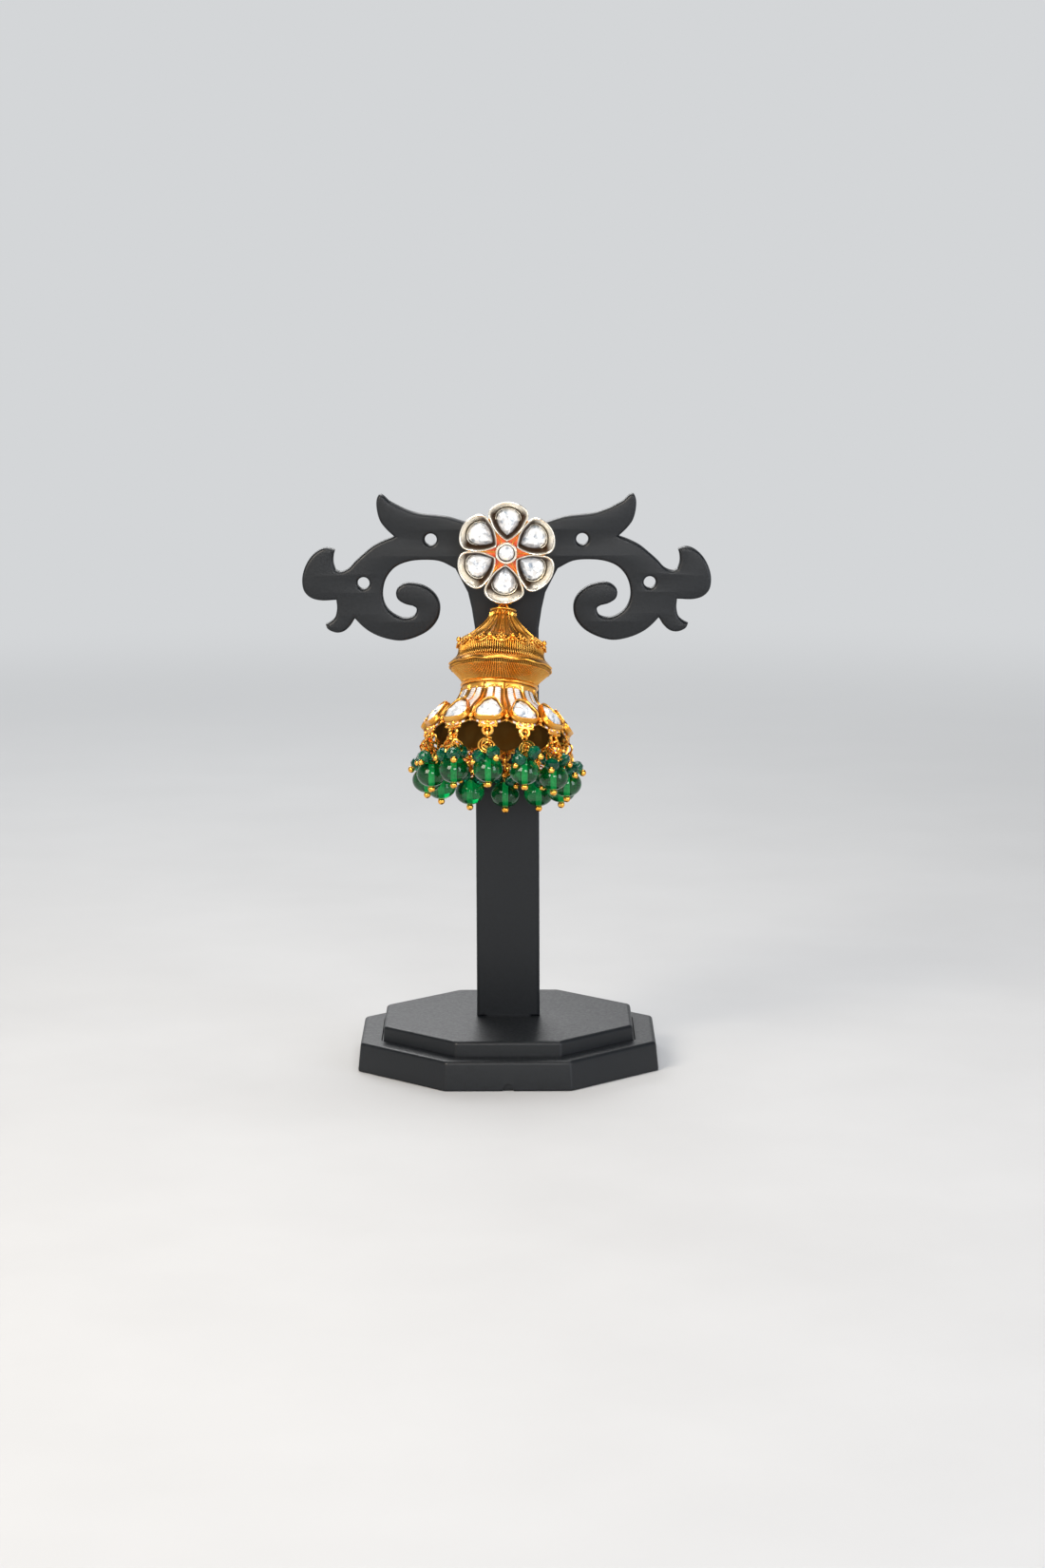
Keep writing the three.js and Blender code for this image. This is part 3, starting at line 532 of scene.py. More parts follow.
loopOut = stud["plateThickness"] / 2
hinge = np.array(joints["link_swing"]["pos_m"]) / mm
pivot = np.array(joints["drop_sway"]["pos_m"]) / mm
nod, roll = math.radians(stud["nod"]), math.radians(stud["roll"])
studRootY = hinge[1] - loopReach * math.cos(roll) * math.sin(nod) + loopOut * math.cos(nod)
studRootZ = hinge[2] + loopReach * math.cos(roll) * math.cos(nod) + loopOut * math.sin(nod)
studFrame = (
    Matrix.Translation((0, studRootY, studRootZ))
    @ rotation(math.pi / 2 + nod, "X")
    @ rotation(-roll, "Z")
)


def addStudPiece(name, part, material=paleGold, crease=40, node="flower_setting"):
    addPiece(name, movedPart(part, studFrame), material, "root", node, crease)


def petalTurn(i):
    return rotation(-i * 2 * math.pi / stud["petals"], "Z")


# A teardrop with its point towards the collet. Fullness below 1 widens it near the point.
def tearRing(width, length, start, z, count=56, squareness=0.0, fullness=1.0):
    angles = circle(count)
    lift = 1 + squareness * np.maximum(0, -np.cos(angles)) * np.sin(angles) ** 2 * 2
    x = np.sin(angles) * np.abs(np.sin(angles / 2)) ** fullness
    x *= width / 2 / x.max() * lift
    y = start + length * (1 - np.cos(angles)) / 2
    return np.stack([x, y, np.full(count, z)], 1)


# Holds an outline between the two lines where a petal meets its neighbours.
def withinPetal(ring):
    limit = np.maximum(0.0, ring[:, 1] * math.tan(math.pi / stud["petals"]) - stud["cupGap"])
    ring[:, 0] = np.clip(ring[:, 0], -limit, limit)
    return ring


def petalCup(seed):
    draw = random.Random(seed)
    plate, lip, length = stud["plateThickness"], stud["lip"], stud["petalLength"]
    rim = plate + stud["cupDepth"]
    square = 0.1 + 0.06 * draw.random()
    wave = draw.uniform(-0.2, 0.2)
    skew = draw.uniform(-0.25, 0.25)
    # each row is an inset, a height, and how far it lies in the shade near the root and at the far end
    rows = [
        (1.35, 0.1, 0.5, 0.5), (1.3, plate, 0.35, 0.35), (0.85, rim - 2.0, 0, 0), (0.45, rim - 1.2, 0, 0),
        (0.12, rim - 0.5, 0, 0), (0.0, rim - 0.22, 0, 0), (0.03, rim - 0.08, 0, 0), (0.1, rim, 0, 0),
        (0.2, rim, 0, 0), (lip, rim - 0.1, 0.3, 0), (lip + 0.14, rim - 0.35, 0.9, 0),
        (lip + 0.34, rim - 0.75, 1, 0), (lip + 0.6, rim - 1.25, 1, 0), (lip + 0.85, rim - 1.7, 1, 0.25),
        (lip + 0.95, rim - 2.05, 1, 0.9),
    ]
    grid, shade = [], []
    for inset, z, near, end in rows:
        ring = tearRing(stud["petalWidth"] - 2 * inset, length - 1.75 * inset, petalRoot + 0.75 * inset, z,
                        squareness=square, fullness=stud["cupFullness"])
        far = np.clip((ring[:, 1] - petalRoot) / length, 0, 1)
        ring[:, 2] += wave * far * (z > 2) * np.sin(ring[:, 0])
        ring[:, 1] += skew * far ** 2 * ring[:, 0] / stud["petalWidth"]
        grid.append(withinPetal(ring))
        bright = np.clip((far - 0.66) / 0.2, 0, 1)
        shade.append(near * (1 - bright) + end * bright)
    # the seat round the stone: a thin polished bezel, with painted shade at its foot beside the cup floor and
    # the stone
    seatLip = stud["seatLip"]
    seat = [(0.0, 1.65, 0.9), (0.02, 2.0, 0.1), (0.14, 2.1, 0.0), (0.26, 2.0, 0.2), (0.3, 1.3, 0.9)]
    for inset, z, recess in seat:
        ring = tearRing(stud["stoneWidth"] + seatLip - 2 * inset, stud["stoneLength"] + seatLip - 2 * inset,
                        petalRoot + stud["stoneInset"] - seatLip / 2 + inset, z,
                        squareness=square * 0.4, fullness=stud["stoneFullness"])
        grid.append(withinPetal(ring))
        shade.append(np.full(len(ring), recess))
    return skin(grid, recess=shade)


def turnedRings(profile, columns):
    return np.array([flatRing(radius, z, columns) for radius, z in profile])


def buildStudMetal():
    cups = [movedPart(petalCup(seed=20 + i), petalTurn(i)) for i in range(stud["petals"])]
    addStudPiece("petal_cups", joinParts(cups), crease=50)
    plate, plateRadius = stud["plateThickness"], stud["plateRadius"]
    outer, top = stud["colletDiameter"] / 2, stud["colletHeight"]
    seat = stud["centreStone"] / 2 + stud["stoneGap"]
    collet = [(0.3, 0.2), (outer, 0.2), (outer, top - 0.4), (outer - 0.05, top - 0.15), (outer - 0.18, top),
              (seat + 0.12, top), (seat, top - 0.15), (seat - 0.02, top - 0.9), (0.3, top - 0.95)]
    colletShade = np.array([0.4, 0.4, 0.1, 0, 0, 0, 0.3, 0.9, 1.0])[:, None]
    back = [(0.3, 0.0), (plateRadius - 0.3, 0.0), (plateRadius, 0.2), (plateRadius, plate - 0.2),
            (plateRadius - 0.3, plate), (0.3, plate)]
    metal = joinParts([skin(turnedRings(collet, 48), recess=colletShade), skin(turnedRings(back, 64))])
    addStudPiece("collet_and_plate", metal, crease=35)
    # the loop, and two cast shells on the bottom petal's underside over it
    loop = ringOfWire(stud["loopRadius"], stud["loopWire"], (0, stud["loopRadius"] - loopReach, loopOut))
    shellY = 0.1 - petalRoot - stud["petalLength"]
    shells = [ball(stud["shell"], (side * stud["shellSpread"], shellY, plate + 1.1)) for side in (-1, 1)]
    addStudPiece("loop_and_shells", joinParts([loop, *shells]), wireGold)


def buildPinAndNut():
    seatDown = (tree["thickness"] / 2 - studRootY + stud["nutGap"]) / math.cos(nod)
    nutSeat = seatDown + stud["nutDiameter"] / 2 * math.tan(nod)
    length = nutSeat + stud["nutThickness"] + stud["pinTail"]
    pinRadius = stud["pinDiameter"] / 2
    pin = wireAlong([(0, 0, z) for z in np.linspace(0.3, -length, 12)], pinRadius, 16)
    addStudPiece("ear_pin", pin)
    hole, outer, thick = pinRadius + 0.2, stud["nutDiameter"] / 2, stud["nutThickness"]
    profile = [(hole, 0.1), (hole + 0.1, 0), (outer - 0.25, 0), (outer, -0.25), (outer - 0.03, -thick * 0.45),
               (outer - 0.5, -thick * 0.55), (outer * 0.62, -thick * 0.7), (outer * 0.6, -thick + 0.1),
               (hole + 0.1, -thick), (hole, -thick + 0.1)]
    columns = 4 * stud["knurls"]
    rings = turnedRings(profile, columns)
    rings[2:5, :, :2] *= (1 - stud["knurlDepth"] * (np.arange(columns) % 4 < 2))[:, None]
    nut = movedPart(skin(rings, wrapAlong=True, recess=0.1), Matrix.Translation((0, 0, -nutSeat)))
    addStudPiece("turned_nut", nut, wireGold, 30, "post_nut")


# Enamel fills the wedges between the cups, with a thin wire down the middle of each.
def buildEnamel():
    height, share = stud["plateThickness"] + stud["enamelHeight"], stud["enamelShare"]
    outline = tearRing(stud["petalWidth"] * share, stud["petalLength"] * share, petalRoot, 0,
                       fullness=stud["cupFullness"])
    half = math.pi / stud["petals"]
    side = []
    for x, y, _ in outline[2:16]:
        angle = half + math.atan2(-x, y)
        radius = math.hypot(x, y)
        if radius * math.sin(angle) > stud["tipGap"]:
            side.append((radius * math.sin(angle), radius * math.cos(angle)))
    tip = side[-1][1] + 0.3
    colletRadius = stud["colletDiameter"] / 2
    inner = [(colletRadius * math.sin(a), colletRadius * math.cos(a)) for a in np.linspace(-half, half, 7)]
    edge = inner + side + [(0, tip)] + [(-x, y) for x, y in side[::-1]]
    top = np.array([(x, y, height) for x, y in edge])
    domed = top * (0.9, 1, 1) + (0, 0, stud["enamelDome"])
    domed[:, 1] = (top[:, 1] - top[:, 1].mean()) * 0.9 + top[:, 1].mean()
    wedge = skin([top - (0, 0, stud["enamelDepth"]), top, domed])
    wire = wireAlong([(0, y, height + 0.14) for y in np.linspace(2.0, tip, 6)], stud["enamelWire"] / 2)
    turns = [rotation((2 * i + 1) * half, "Z") for i in range(stud["petals"])]
    addStudPiece("enamel_wedges", joinParts([movedPart(wedge, turn) for turn in turns]), enamel, 30)
    addStudPiece("enamel_wires", joinParts([movedPart(wire, turn) for turn in turns]), wireGold)


# A cut stone: rings of corners from back to table, each facet flat, with a seeded unevenness.
def cutStone(ringAt, rows, seed, jitter):
    draw = np.random.default_rng(seed)
    grid = []
    for step, (size, z) in enumerate(rows):
        ring = ringAt(size, z, step % 2)
        grid.append(ring + draw.uniform(-jitter, jitter, ring.shape) * (1, 1, 0.5) * (step > 1))
    stone = skin(grid)
    corners = stone["points"][np.array([i for face in stone["faces"] for i in face])]
    sides = [len(face) for face in stone["faces"]]
    starts = np.cumsum([0, *sides]).tolist()
    faces = [tuple(range(*pair)) for pair in zip(starts, starts[1:])]
    # a random painted shade for each facet, standing in for the light it catches
    shades = np.repeat(draw.uniform(0, 1, len(faces)), sides)
    blank = np.zeros(len(corners))
    return {"points": corners, "faces": faces, "values": np.stack([blank, blank, shades], 1)}


def buildStudStones():
    def pear(size, z, _):
        length = stud["stoneLength"]
        return tearRing(stud["stoneWidth"] * size, length * size,
                        petalRoot + stud["stoneInset"] + length * (1 - size) * 0.58, z,
                        count=14, fullness=stud["stoneFullness"])

    floor = stud["plateThickness"] + stud["cupFloor"] + stud["stoneGap"]
    rows = [(0.85, floor), (1.06, floor + 0.35), (0.9, floor + 0.8), (0.62, floor + 1.1), (0.3, floor + 1.2)]
    for i in range(stud["petals"]):
        stone = movedPart(cutStone(pear, rows, 40 + i, 0.07), petalTurn(i))
        addStudPiece(f"pear_crystal_{i + 1}", stone, crystal, None, f"petal_stone_{i + 1}")

    def roundCorners(size, z, odd):
        return flatRing(stud["centreStone"] / 2 * size, z, 16, odd * math.pi / 16)

    floor = stud["colletHeight"] - 1 + stud["stoneGap"]
    rows = [(0.8, floor), (1.0, floor + 0.35), (0.82, floor + 0.75), (0.5, floor + 1.05),
            (0.25, floor + 1.12)]
    stone = cutStone(roundCorners, rows, 51, 0.03)
    addStudPiece("round_crystal", stone, crystal, None, "centre_stone")


buildStudMetal()
buildPinAndNut()
buildEnamel()
buildStudStones()
print("stud built")

# Drop: heights go down its axis from the collar, radii out from it, turns from its front.
drop = {
    "lean": 19.0, "roll": 3.0, "linkInner": 1.05, "linkWire": 0.44, "eyeRadius": 0.8, "eyeWire": 0.5,
    "eyeSink": 0.45, "panels": 12, "neck": 7.1, "bellTurn": -6.7,
}
canopy = {
    "height": 6.85, "scallop": 1.3, "scallopStart": 0.2, "collar": 2.5, "eave": 8.5, "start": 0.75,
    "ridge": 0.5, "groove": 0.2, "spine": 0.26, "hollow": 0.42, "beading": 0.14, "edgeWire": 0.3,
}
flaredBand = {
    "height": 4.35, "lipHeight": 0.4, "coneHeight": 3.7, "radius": 8.1, "flange": 10.0, "point": 0.35,
    "wave": -0.14, "flutes": 120, "coneFlutes": 168,
}
bell = {
    "height": 9.5, "rim": 13.7, "wall": 0.55, "rimScallop": 1.2, "rib": 0.3, "fieldDepth": 0.13,
    "spine": 0.12, "stripMiddle": 0.38, "stripHalf": 0.3, "stripRise": 0.06, "rope": 0.1,
    "ropePitch": 0.42, "ropeSlant": 0.5, "fieldTop": 0.75, "fieldArch": 0.7, "stripTop": 1.0,
    "stripArch": 0.4, "softEdge": 0.12, "insideShade": 0.93,
}
bezel = {
    "width": 5.2, "height": 5.7, "rise": 0.9, "tilt": 38.0, "corner": 0.13, "twist": 11, "down": 0.71,
    "out": 0.76, "stoneShare": 0.87, "stoneGap": 0.15, "stoneRise": 0.55,
}
trim = {
    "granule": 0.55, "bead": 0.3, "granuleDown": 0.82, "granuleOut": 0.86, "eyeRing": 0.85,
    "eyeRingWire": 0.6, "eyeSize": 1.35, "eyeInset": 0.4, "granuleRise": 0.25, "beadRise": 0.2,
    "beadBelow": 0.82,
}
collarDrop = 2 * drop["eyeRadius"] - drop["eyeSink"]
dropFrame = (
    Matrix.Translation(Vector(pivot))
    @ rotation(-math.radians(drop["lean"]), "X")
    @ rotation(math.radians(drop["roll"]), "Y")
    @ Matrix.Translation((0, 0, -collarDrop))
)
neckTop = canopy["height"] + flaredBand["height"] + flaredBand["lipHeight"] + flaredBand["coneHeight"]
rimDown = neckTop + bell["height"]
bellTurn = math.radians(drop["bellTurn"])
panels = drop["panels"]
panelStep = 2 * math.pi / panels


def addDropPiece(name, part, material=gold, crease=40, node="drop_body", gap=0.0):
    addPiece(name, movedPart(part, dropFrame), material, "drop", node, crease, gap)


# Places points on the drop from heights down, radii out and turns from the front.
def onAxis(down, radius, turn):
    down, radius, turn = np.broadcast_arrays(down, radius, turn)
    return np.stack([radius * np.sin(turn), -radius * np.cos(turn), -down], -1)


# Adds a row of points on the drop to a grid, and its shade.
def addRow(grid, shade, turns, down, radius, dark):
    grid.append(onAxis(down, radius, turns))
    shade.append(np.broadcast_to(dark, turns.shape))


def hump(x, width):
    return np.exp(-(x / width) ** 2)


# How far a turn lies from the middle of its panel: 0 in the middle, 1 at the edges.
def fromMiddle(turn, start=0.0):
    return ((turn - start + panelStep / 2) % panelStep - panelStep / 2) / (panelStep / 2)


# How far down the canopy's scalloped edge lies, at each turn.
def canopyEdge(turns):
    arch = np.abs(np.cos(panels * turns / 2))
    return canopy["height"] + canopy["scallop"] * (arch - canopy["scallopStart"])


canopySlope = smoothThrough([
    (0.9, -0.02), (1.15, -0.032), (2.7, 0.13), (4.95, 0.5), (6.2, 0.8), (6.95, 0.94), (8.1, 1.0)], 9)


def canopyRadius(down):
    out = np.interp(down, canopySlope[:, 0], canopySlope[:, 1])
    return canopy["collar"] + (canopy["eave"] - canopy["collar"]) * out


def buildCanopy():
    height, start = canopy["height"], canopy["start"]
    turns = circle(panels * 30)
    u = fromMiddle(turns)
    edge = canopyEdge(turns)
    grid, shade = [], []
    # collar: a flat top, a bead and a narrow throat, with painted shade in the throat under the bead
    for down, radius, dark in (
            (-0.12, 0.5, 0.2), (-0.1, 1.7, 0.2), (0.02, 2.15, 0.3), (0.0, 2.3, 0.0), (0.12, 2.5, 0.0),
            (0.3, 2.52, 0.0), (0.42, 2.4, 0.3), (0.5, 2.25, 0.8), (0.62, 2.28, 0.5)):
        addRow(grid, shade, turns, down, radius, dark)
    for share in np.linspace(0, 1, 42):
        down = start + share * (edge - start)
        size = 0.35 + 0.65 * share
        ending = min(1.0, (1 - share) / 0.08)
        relief = size * (canopy["ridge"] * hump(1 - np.abs(u), 0.15) + ending * (
            canopy["spine"] * hump(u, 0.12) - canopy["groove"] * hump(np.abs(u) - 0.5, 0.1)
            - canopy["hollow"] * (1 - u ** 2)))
        beading = canopy["beading"] * np.abs(np.cos(panels * turns)) * hump(share - 0.05, 0.06)
        # the grooves between the ridges are darkened: patina and painted shade
        valley = np.clip(hump(np.abs(u) - 0.5, 0.12) + 0.5 * hump(np.abs(u) - 0.76, 0.12), 0, 1) * ending
        dark = np.clip(valley * (0.9 - 0.3 * share) + 0.25 * (share < 0.06), 0, 1)
        addRow(grid, shade, turns, down, canopyRadius(down) + relief + beading, dark)
    lastRadius = np.hypot(grid[-1][:, 0], grid[-1][:, 1])
    # under the scalloped edge the skin turns in and up, painted in shade
    for down, inset, dark in ((edge + 0.05, 0.2, 0.2), (edge, 0.4, 0.6), (height - 0.4, 0.75, 1.0)):
        addRow(grid, shade, turns, down, lastRadius - inset, dark)
    edgePath = onAxis(edge - 0.02, lastRadius + 0.02, turns)
    parts = [skin(grid, recess=shade), wireAlong(edgePath, canopy["edgeWire"] / 2, 8, closed=True)]
    low = height + canopy["scallop"] * (1 - canopy["scallopStart"])
    for i in range(panels):
        middle, cusp = i * panelStep, (i + 0.5) * panelStep
        # a fleuron of granules over each scallop, and a knob with a drop at each cusp
        for across, rise, size in (
                (0, 2.0, 0.2), (0, 1.55, 0.26), (-0.4, 1.15, 0.3), (0.4, 1.15, 0.3), (0, 0.8, 0.32),
                (-0.85, 1.1, 0.2), (0.85, 1.1, 0.2), (-0.6, 0.65, 0.22), (0.6, 0.65, 0.22)):
            radius = canopyRadius(low - rise) - 0.2 * (rise > 0.7)
            place = onAxis(low - rise, radius + 0.05, middle + across / radius)
            parts.append(ball(size, place, around=10, rows=6))
        for down, inset, size in ((height - 0.15, 0.15, 0.48), (height + 0.55, 0.25, 0.34)):
            place = onAxis(down, canopy["eave"] - inset, cusp)
            parts.append(ball(size, place, squash=1.15, around=14, rows=8))
    return joinParts(parts)


def buildTopEye():
    centre = (0, 0, collarDrop - drop["eyeRadius"])
    return ringOfWire(drop["eyeRadius"], drop["eyeWire"], centre, across="Y")


def buildFlaredBand():
    flutes, coneFlutes = flaredBand["flutes"], flaredBand["coneFlutes"]
    turns = circle(coneFlutes * 5)
    reed, fineReed = [np.abs(np.sin(count / 2 * turns)) ** 0.7 for count in (flutes, coneFlutes)]
    panelWave = np.cos(panels * turns)
    band, flange, neck = flaredBand["radius"], flaredBand["flange"], drop["neck"]
    # down, radius, reeding, flange points, shade: the plain rows at the top run up under the scallops
    rows = [(6.4, band - 1.2, 0, 0, 1.0), (6.42, band - 0.15, 0, 0, 0.4), (6.9, band - 0.1, 0, 0, 0.0),
            (7.2, band - 0.05, 0, 0, 0.0), (7.28, band - 0.05, 0, 0, 0.2)]
    reeds = smoothThrough([(7.3, band), (8.2, band + 0.02), (9.05, band + 0.12), (9.8, band + 0.45),
                           (10.5, band + 1.15)], 4)
    rows += [(down, radius, 0.3 if 0 < i < len(reeds) - 1 else 0.06, 0, 0.05)
             for i, (down, radius) in enumerate(reeds)]
    rows += [(10.54, band + 1.12, 0, 0, 0.9), (10.6, band + 1.22, 0, 0.1, 0.3),
             (10.85, band + 1.52, 0, 0.6, 0.0), (11.05, flange - 0.12, 0, 0.9, 0.0),
             (11.2, flange + 0.02, 0, 1, 0.0), (11.38, flange + 0.04, 0, 1, 0.0),
             (11.48, flange - 0.04, 0, 1, 0.1), (11.5, flange - 0.3, 0, 0.8, 0.9),
             (11.54, flange - 0.28, 0.1, 0.6, 0.9), (11.6, flange - 0.28, 0.45, 0.6, 0.3),
             (12.0, flange - 0.46, 0.45, 0.4, 0.3), (12.06, flange - 0.6, 0, 0.3, 0.9)]
    cone = smoothThrough([(12.1, 9.32), (12.5, 8.9), (13.0, 8.4), (13.5, 7.88), (14.1, 7.4), (14.6, 7.14)], 4)
    rows += [(down, radius, 0.28 if 0 < i < len(cone) - 1 else 0.05, 0, 0.0)
             for i, (down, radius) in enumerate(cone)]
    rows += [(14.68, neck - 0.1, 0, 0, 0.8)]
    rows += [(14.7 + 0.33 * (1 - math.cos(a)), neck - 0.05 + 0.34 * math.sin(a), 0, 0, 0.0)
             for a in np.linspace(0.1, math.pi, 10)]
    rows += [(15.42, neck - 0.22, 0, 0, 1.0), (15.6, neck - 0.35, 0, 0, 1.0)]
    grid, shade = [], []
    for down, radius, reeding, points, dark in rows:
        ridges = reed if down < 11 else fineReed
        height = np.maximum(down + points * flaredBand["wave"] * panelWave, canopyEdge(turns) - 0.05)
        soft = points * flaredBand["point"] * (1 + panelWave) / 2
        # the gaps between the reeds are darkened: patina and painted shade
        dark = np.clip(dark + (reeding > 0.08) * (1 - ridges ** 1.6) * 1.4, 0, 1)
        addRow(grid, shade, turns, height, radius + reeding * (ridges - 1) - soft, dark)
    return skin(grid, recess=shade)


bellCurve = smoothThrough([
    (0, 0.0), (0.12, 0.0), (0.32, 0.14), (0.5, 0.47), (0.65, 0.71), (0.85, 0.87), (1, 1)], 8)


# The bell's radius where its flare is so far out, and where it lies so far down.
def bellRadius(out):
    return drop["neck"] + out * (bell["rim"] - drop["neck"])


def bellRadiusAt(down):
    return bellRadius(np.interp((down - neckTop) / bell["height"], bellCurve[:, 0], bellCurve[:, 1]))


# The bell's twelve panels: an arched gold field, two silvered herringbone strips and a rib between panels.
def buildBell():
    turns = circle(panels * 44)
    v = fromMiddle(turns, bellTurn)
    side = np.abs(v)
    rim = rimDown - bell["rimScallop"] * side ** 1.5
    grid, shade, plate = [], [], []
    for share in np.linspace(0, 1, 84):
        down = neckTop + 0.1 + share * (rim - neckTop - 0.1)
        below = down - neckTop
        # 1 inside the arched field
        field = np.clip((below - bell["fieldTop"] - bell["fieldArch"] * side ** 2) / bell["softEdge"], 0, 1)
        arched = np.clip((below - bell["stripTop"] - bell["stripArch"] * side ** 2) / bell["softEdge"], 0, 1)
        strip = np.clip((bell["stripHalf"] - np.abs(side - bell["stripMiddle"])) / 0.05, 0, 1) * arched
        rope = np.abs(np.sin((below + side * bell["ropeSlant"]) * math.pi / bell["ropePitch"]))
        rib = hump(1 - side, 0.08)
        top = np.clip((below - 0.1) / 0.5, 0, 1)
        relief = (bell["rib"] * rib * top - bell["fieldDepth"] * field * (1 - rib)
                  + strip * (bell["stripRise"] + bell["rope"] * rope)
                  + bell["spine"] * hump(side, 0.05) * field)
        # the grooves beside the ribs and round each field are darkened, patina and painted shade; the gaps in
        # the rope and the panel tops under the neck get painted shade
        grooves = 0.9 * hump(side - 0.82, 0.08) + 0.7 * hump(side - 0.71, 0.03) + 1.2 * (1 - field)
        dark = np.clip(grooves * field + 0.6 * strip * (1 - rope) ** 3 + (1 - top) * 0.8, 0, 1)
        addRow(grid, shade, turns, down, bellRadiusAt(down) + relief, dark)
        plate.append(strip)
    outerRadius = np.hypot(grid[-1][:, 0], grid[-1][:, 1])
    for lower, inset, dark in ((0.12, 0.05, 0.1), (0.16, 0.25, 0.1), (0.08, 0.5, 0.3)):
        addRow(grid, shade, turns, rim + lower, outerRadius - inset, dark)
    # the inside, with the bezels' backs standing out a little
    for share in np.linspace(1, 0.06, 26):
        down = neckTop + share * (rim - neckTop)
        backs = 0.35 * np.clip(1.3 * hump(v, 0.55) * hump(share - bezel["down"], 0.17) - 0.3, 0, 1)
        radius = bellRadiusAt(down) - bell["wall"] - 0.25 * hump(share - 0.03, 0.1) - backs
        addRow(grid, shade, turns, down, radius, bell["insideShade"])
    plate += [np.zeros(len(turns))] * (len(grid) - len(plate))
    return skin(grid, recess=shade, silvered=plate)


# Stands a part on the bell: its +Z outwards and its +Y up.
def onBell(part, turn, radius, down, tilt=0.0):
    place = (rotation(turn, "Z") @ Matrix.Translation((0, -radius, -down))
             @ rotation(math.pi / 2 - math.radians(tilt), "X"))
    return movedPart(part, place)


# A rounded triangle with its point up.
def shieldRing(width, height, z, count=48):
    angles = circle(count, math.pi / 2)
    reach = 1 - bezel["corner"] * np.sin(3 * angles)
    x, y = width / 2 * np.cos(angles) * reach, height / 2 * np.sin(angles) * reach
    return np.stack([x, y, np.full(count, z)], 1)


def stoneBezel():
    rise = bezel["rise"]
    # insets, heights and shades, from the foot over the rim to the seat
    rows = [(0.0, -0.34, 0.6), (-0.12, -0.05, 0.7), (-0.1, 0.2, 0.2), (0.0, 0.3, 0.3),
            (0.03, rise - 0.2, 0.0), (0.05, rise, 0.0), (0.12, rise + 0.08, 0.0),
            (0.2, rise + 0.08, 0.0), (0.27, rise, 0.1), (0.31, rise - 0.2, 0.6), (0.45, rise - 0.6, 1.0)]
    grid = [shieldRing(bezel["width"] - 2 * inset, bezel["height"] - 2 * inset, z) for inset, z, _ in rows]
    return skin(grid, recess=[[dark] for _, _, dark in rows])


# A cast eye under each bezel: two small lobes over a ring.
def rimEye():
    parts = [ringOfWire(0.62, 0.5, (0, -0.35, 0), steps=20, sides=8)]
    for side in (-1, 1):
        parts.append(ringOfWire(0.42, 0.44, (side * 0.72, 0.62, 0.05), steps=16, sides=8))
        parts.append(ball(0.22, (side * 1.15, 0.2, 0.1), around=10, rows=6))
    parts.append(ball(0.4, (0, 0.75, 0.1), squash=0.7, around=12, rows=7))
    return movedPart(joinParts(parts), Matrix.Scale(trim["eyeSize"], 4))


bezelPlace = (bellRadius(bezel["out"]), neckTop + bezel["down"] * bell["height"], bezel["tilt"])
eyePlace = (bell["rim"] - trim["eyeInset"], rimDown + trim["eyeRing"] - trim["eyeRingWire"] / 2)


def buildBellTrim():
    granuleRadius = bellRadius(trim["granuleOut"]) + trim["granuleRise"]
    granuleAt = neckTop + trim["granuleDown"] * bell["height"]
    draw = random.Random(61)
    twists = [rotation(math.radians(draw.uniform(-1, 1) * bezel["twist"]), "Z") for _ in range(panels)]
    turns = [bellTurn + i * panelStep for i in range(panels)]
    bezels, granules = [], []
    for turn, twist in zip(turns, twists):
        bezels.append(onBell(movedPart(stoneBezel(), twist), turn, *bezelPlace))
        between = turn + panelStep / 2
        granule, bead = ball(trim["granule"], around=18, rows=10), ball(trim["bead"], around=10, rows=6)
        granules.append(onBell(granule, between, granuleRadius, granuleAt))
        beadPlace = (granuleRadius + trim["beadRise"], granuleAt + trim["beadBelow"])
        granules.append(onBell(bead, between, *beadPlace))
    addDropPiece("stone_bezels", joinParts(bezels), crease=50)
    addDropPiece("bell_granules", joinParts(granules))
    addDropPiece("rim_eyes", joinParts([onBell(rimEye(), turn, *eyePlace) for turn in turns]))

    def shieldCorners(size, z, _):
        share = bezel["stoneShare"] * size
        return shieldRing(bezel["width"] * share, bezel["height"] * share, z, count=12)

    floor = bezel["rise"] - bezel["stoneRise"] + bezel["stoneGap"] - 0.25
    rows = [(0.9, floor), (1.0, floor + 0.25), (0.8, floor + 0.62), (0.5, floor + 0.85), (0.22, floor + 0.95)]
    for i, (turn, twist) in enumerate(zip(turns, twists)):
        stone = onBell(movedPart(cutStone(shieldCorners, rows, 70 + i, 0.16), twist), turn, *bezelPlace)
        addDropPiece(f"shield_crystal_{i + 1}", stone, crystal, None, f"bell_stone_{i + 1}")


addDropPiece("canopy_shell", buildCanopy(), crease=60)
addDropPiece("top_eye", buildTopEye(), wireGold)
addDropPiece("flared_band", buildFlaredBand(), crease=60, gap=0.0005)  # its top rows meet under the scallops
addDropPiece("bell_shell", buildBell(), crease=60)
buildBellTrim()
linkCentre = (hinge + pivot) / 2
linkAcross = Matrix.Translation(Vector(linkCentre)) @ rotation(-math.radians(drop["lean"]), "X")
linkRing = ringOfWire(drop["linkInner"] + drop["linkWire"] / 2, drop["linkWire"], across="X")
addPiece("link_wire", movedPart(linkRing, linkAcross), wireGold, "link", "link_ring")
print("drop built")

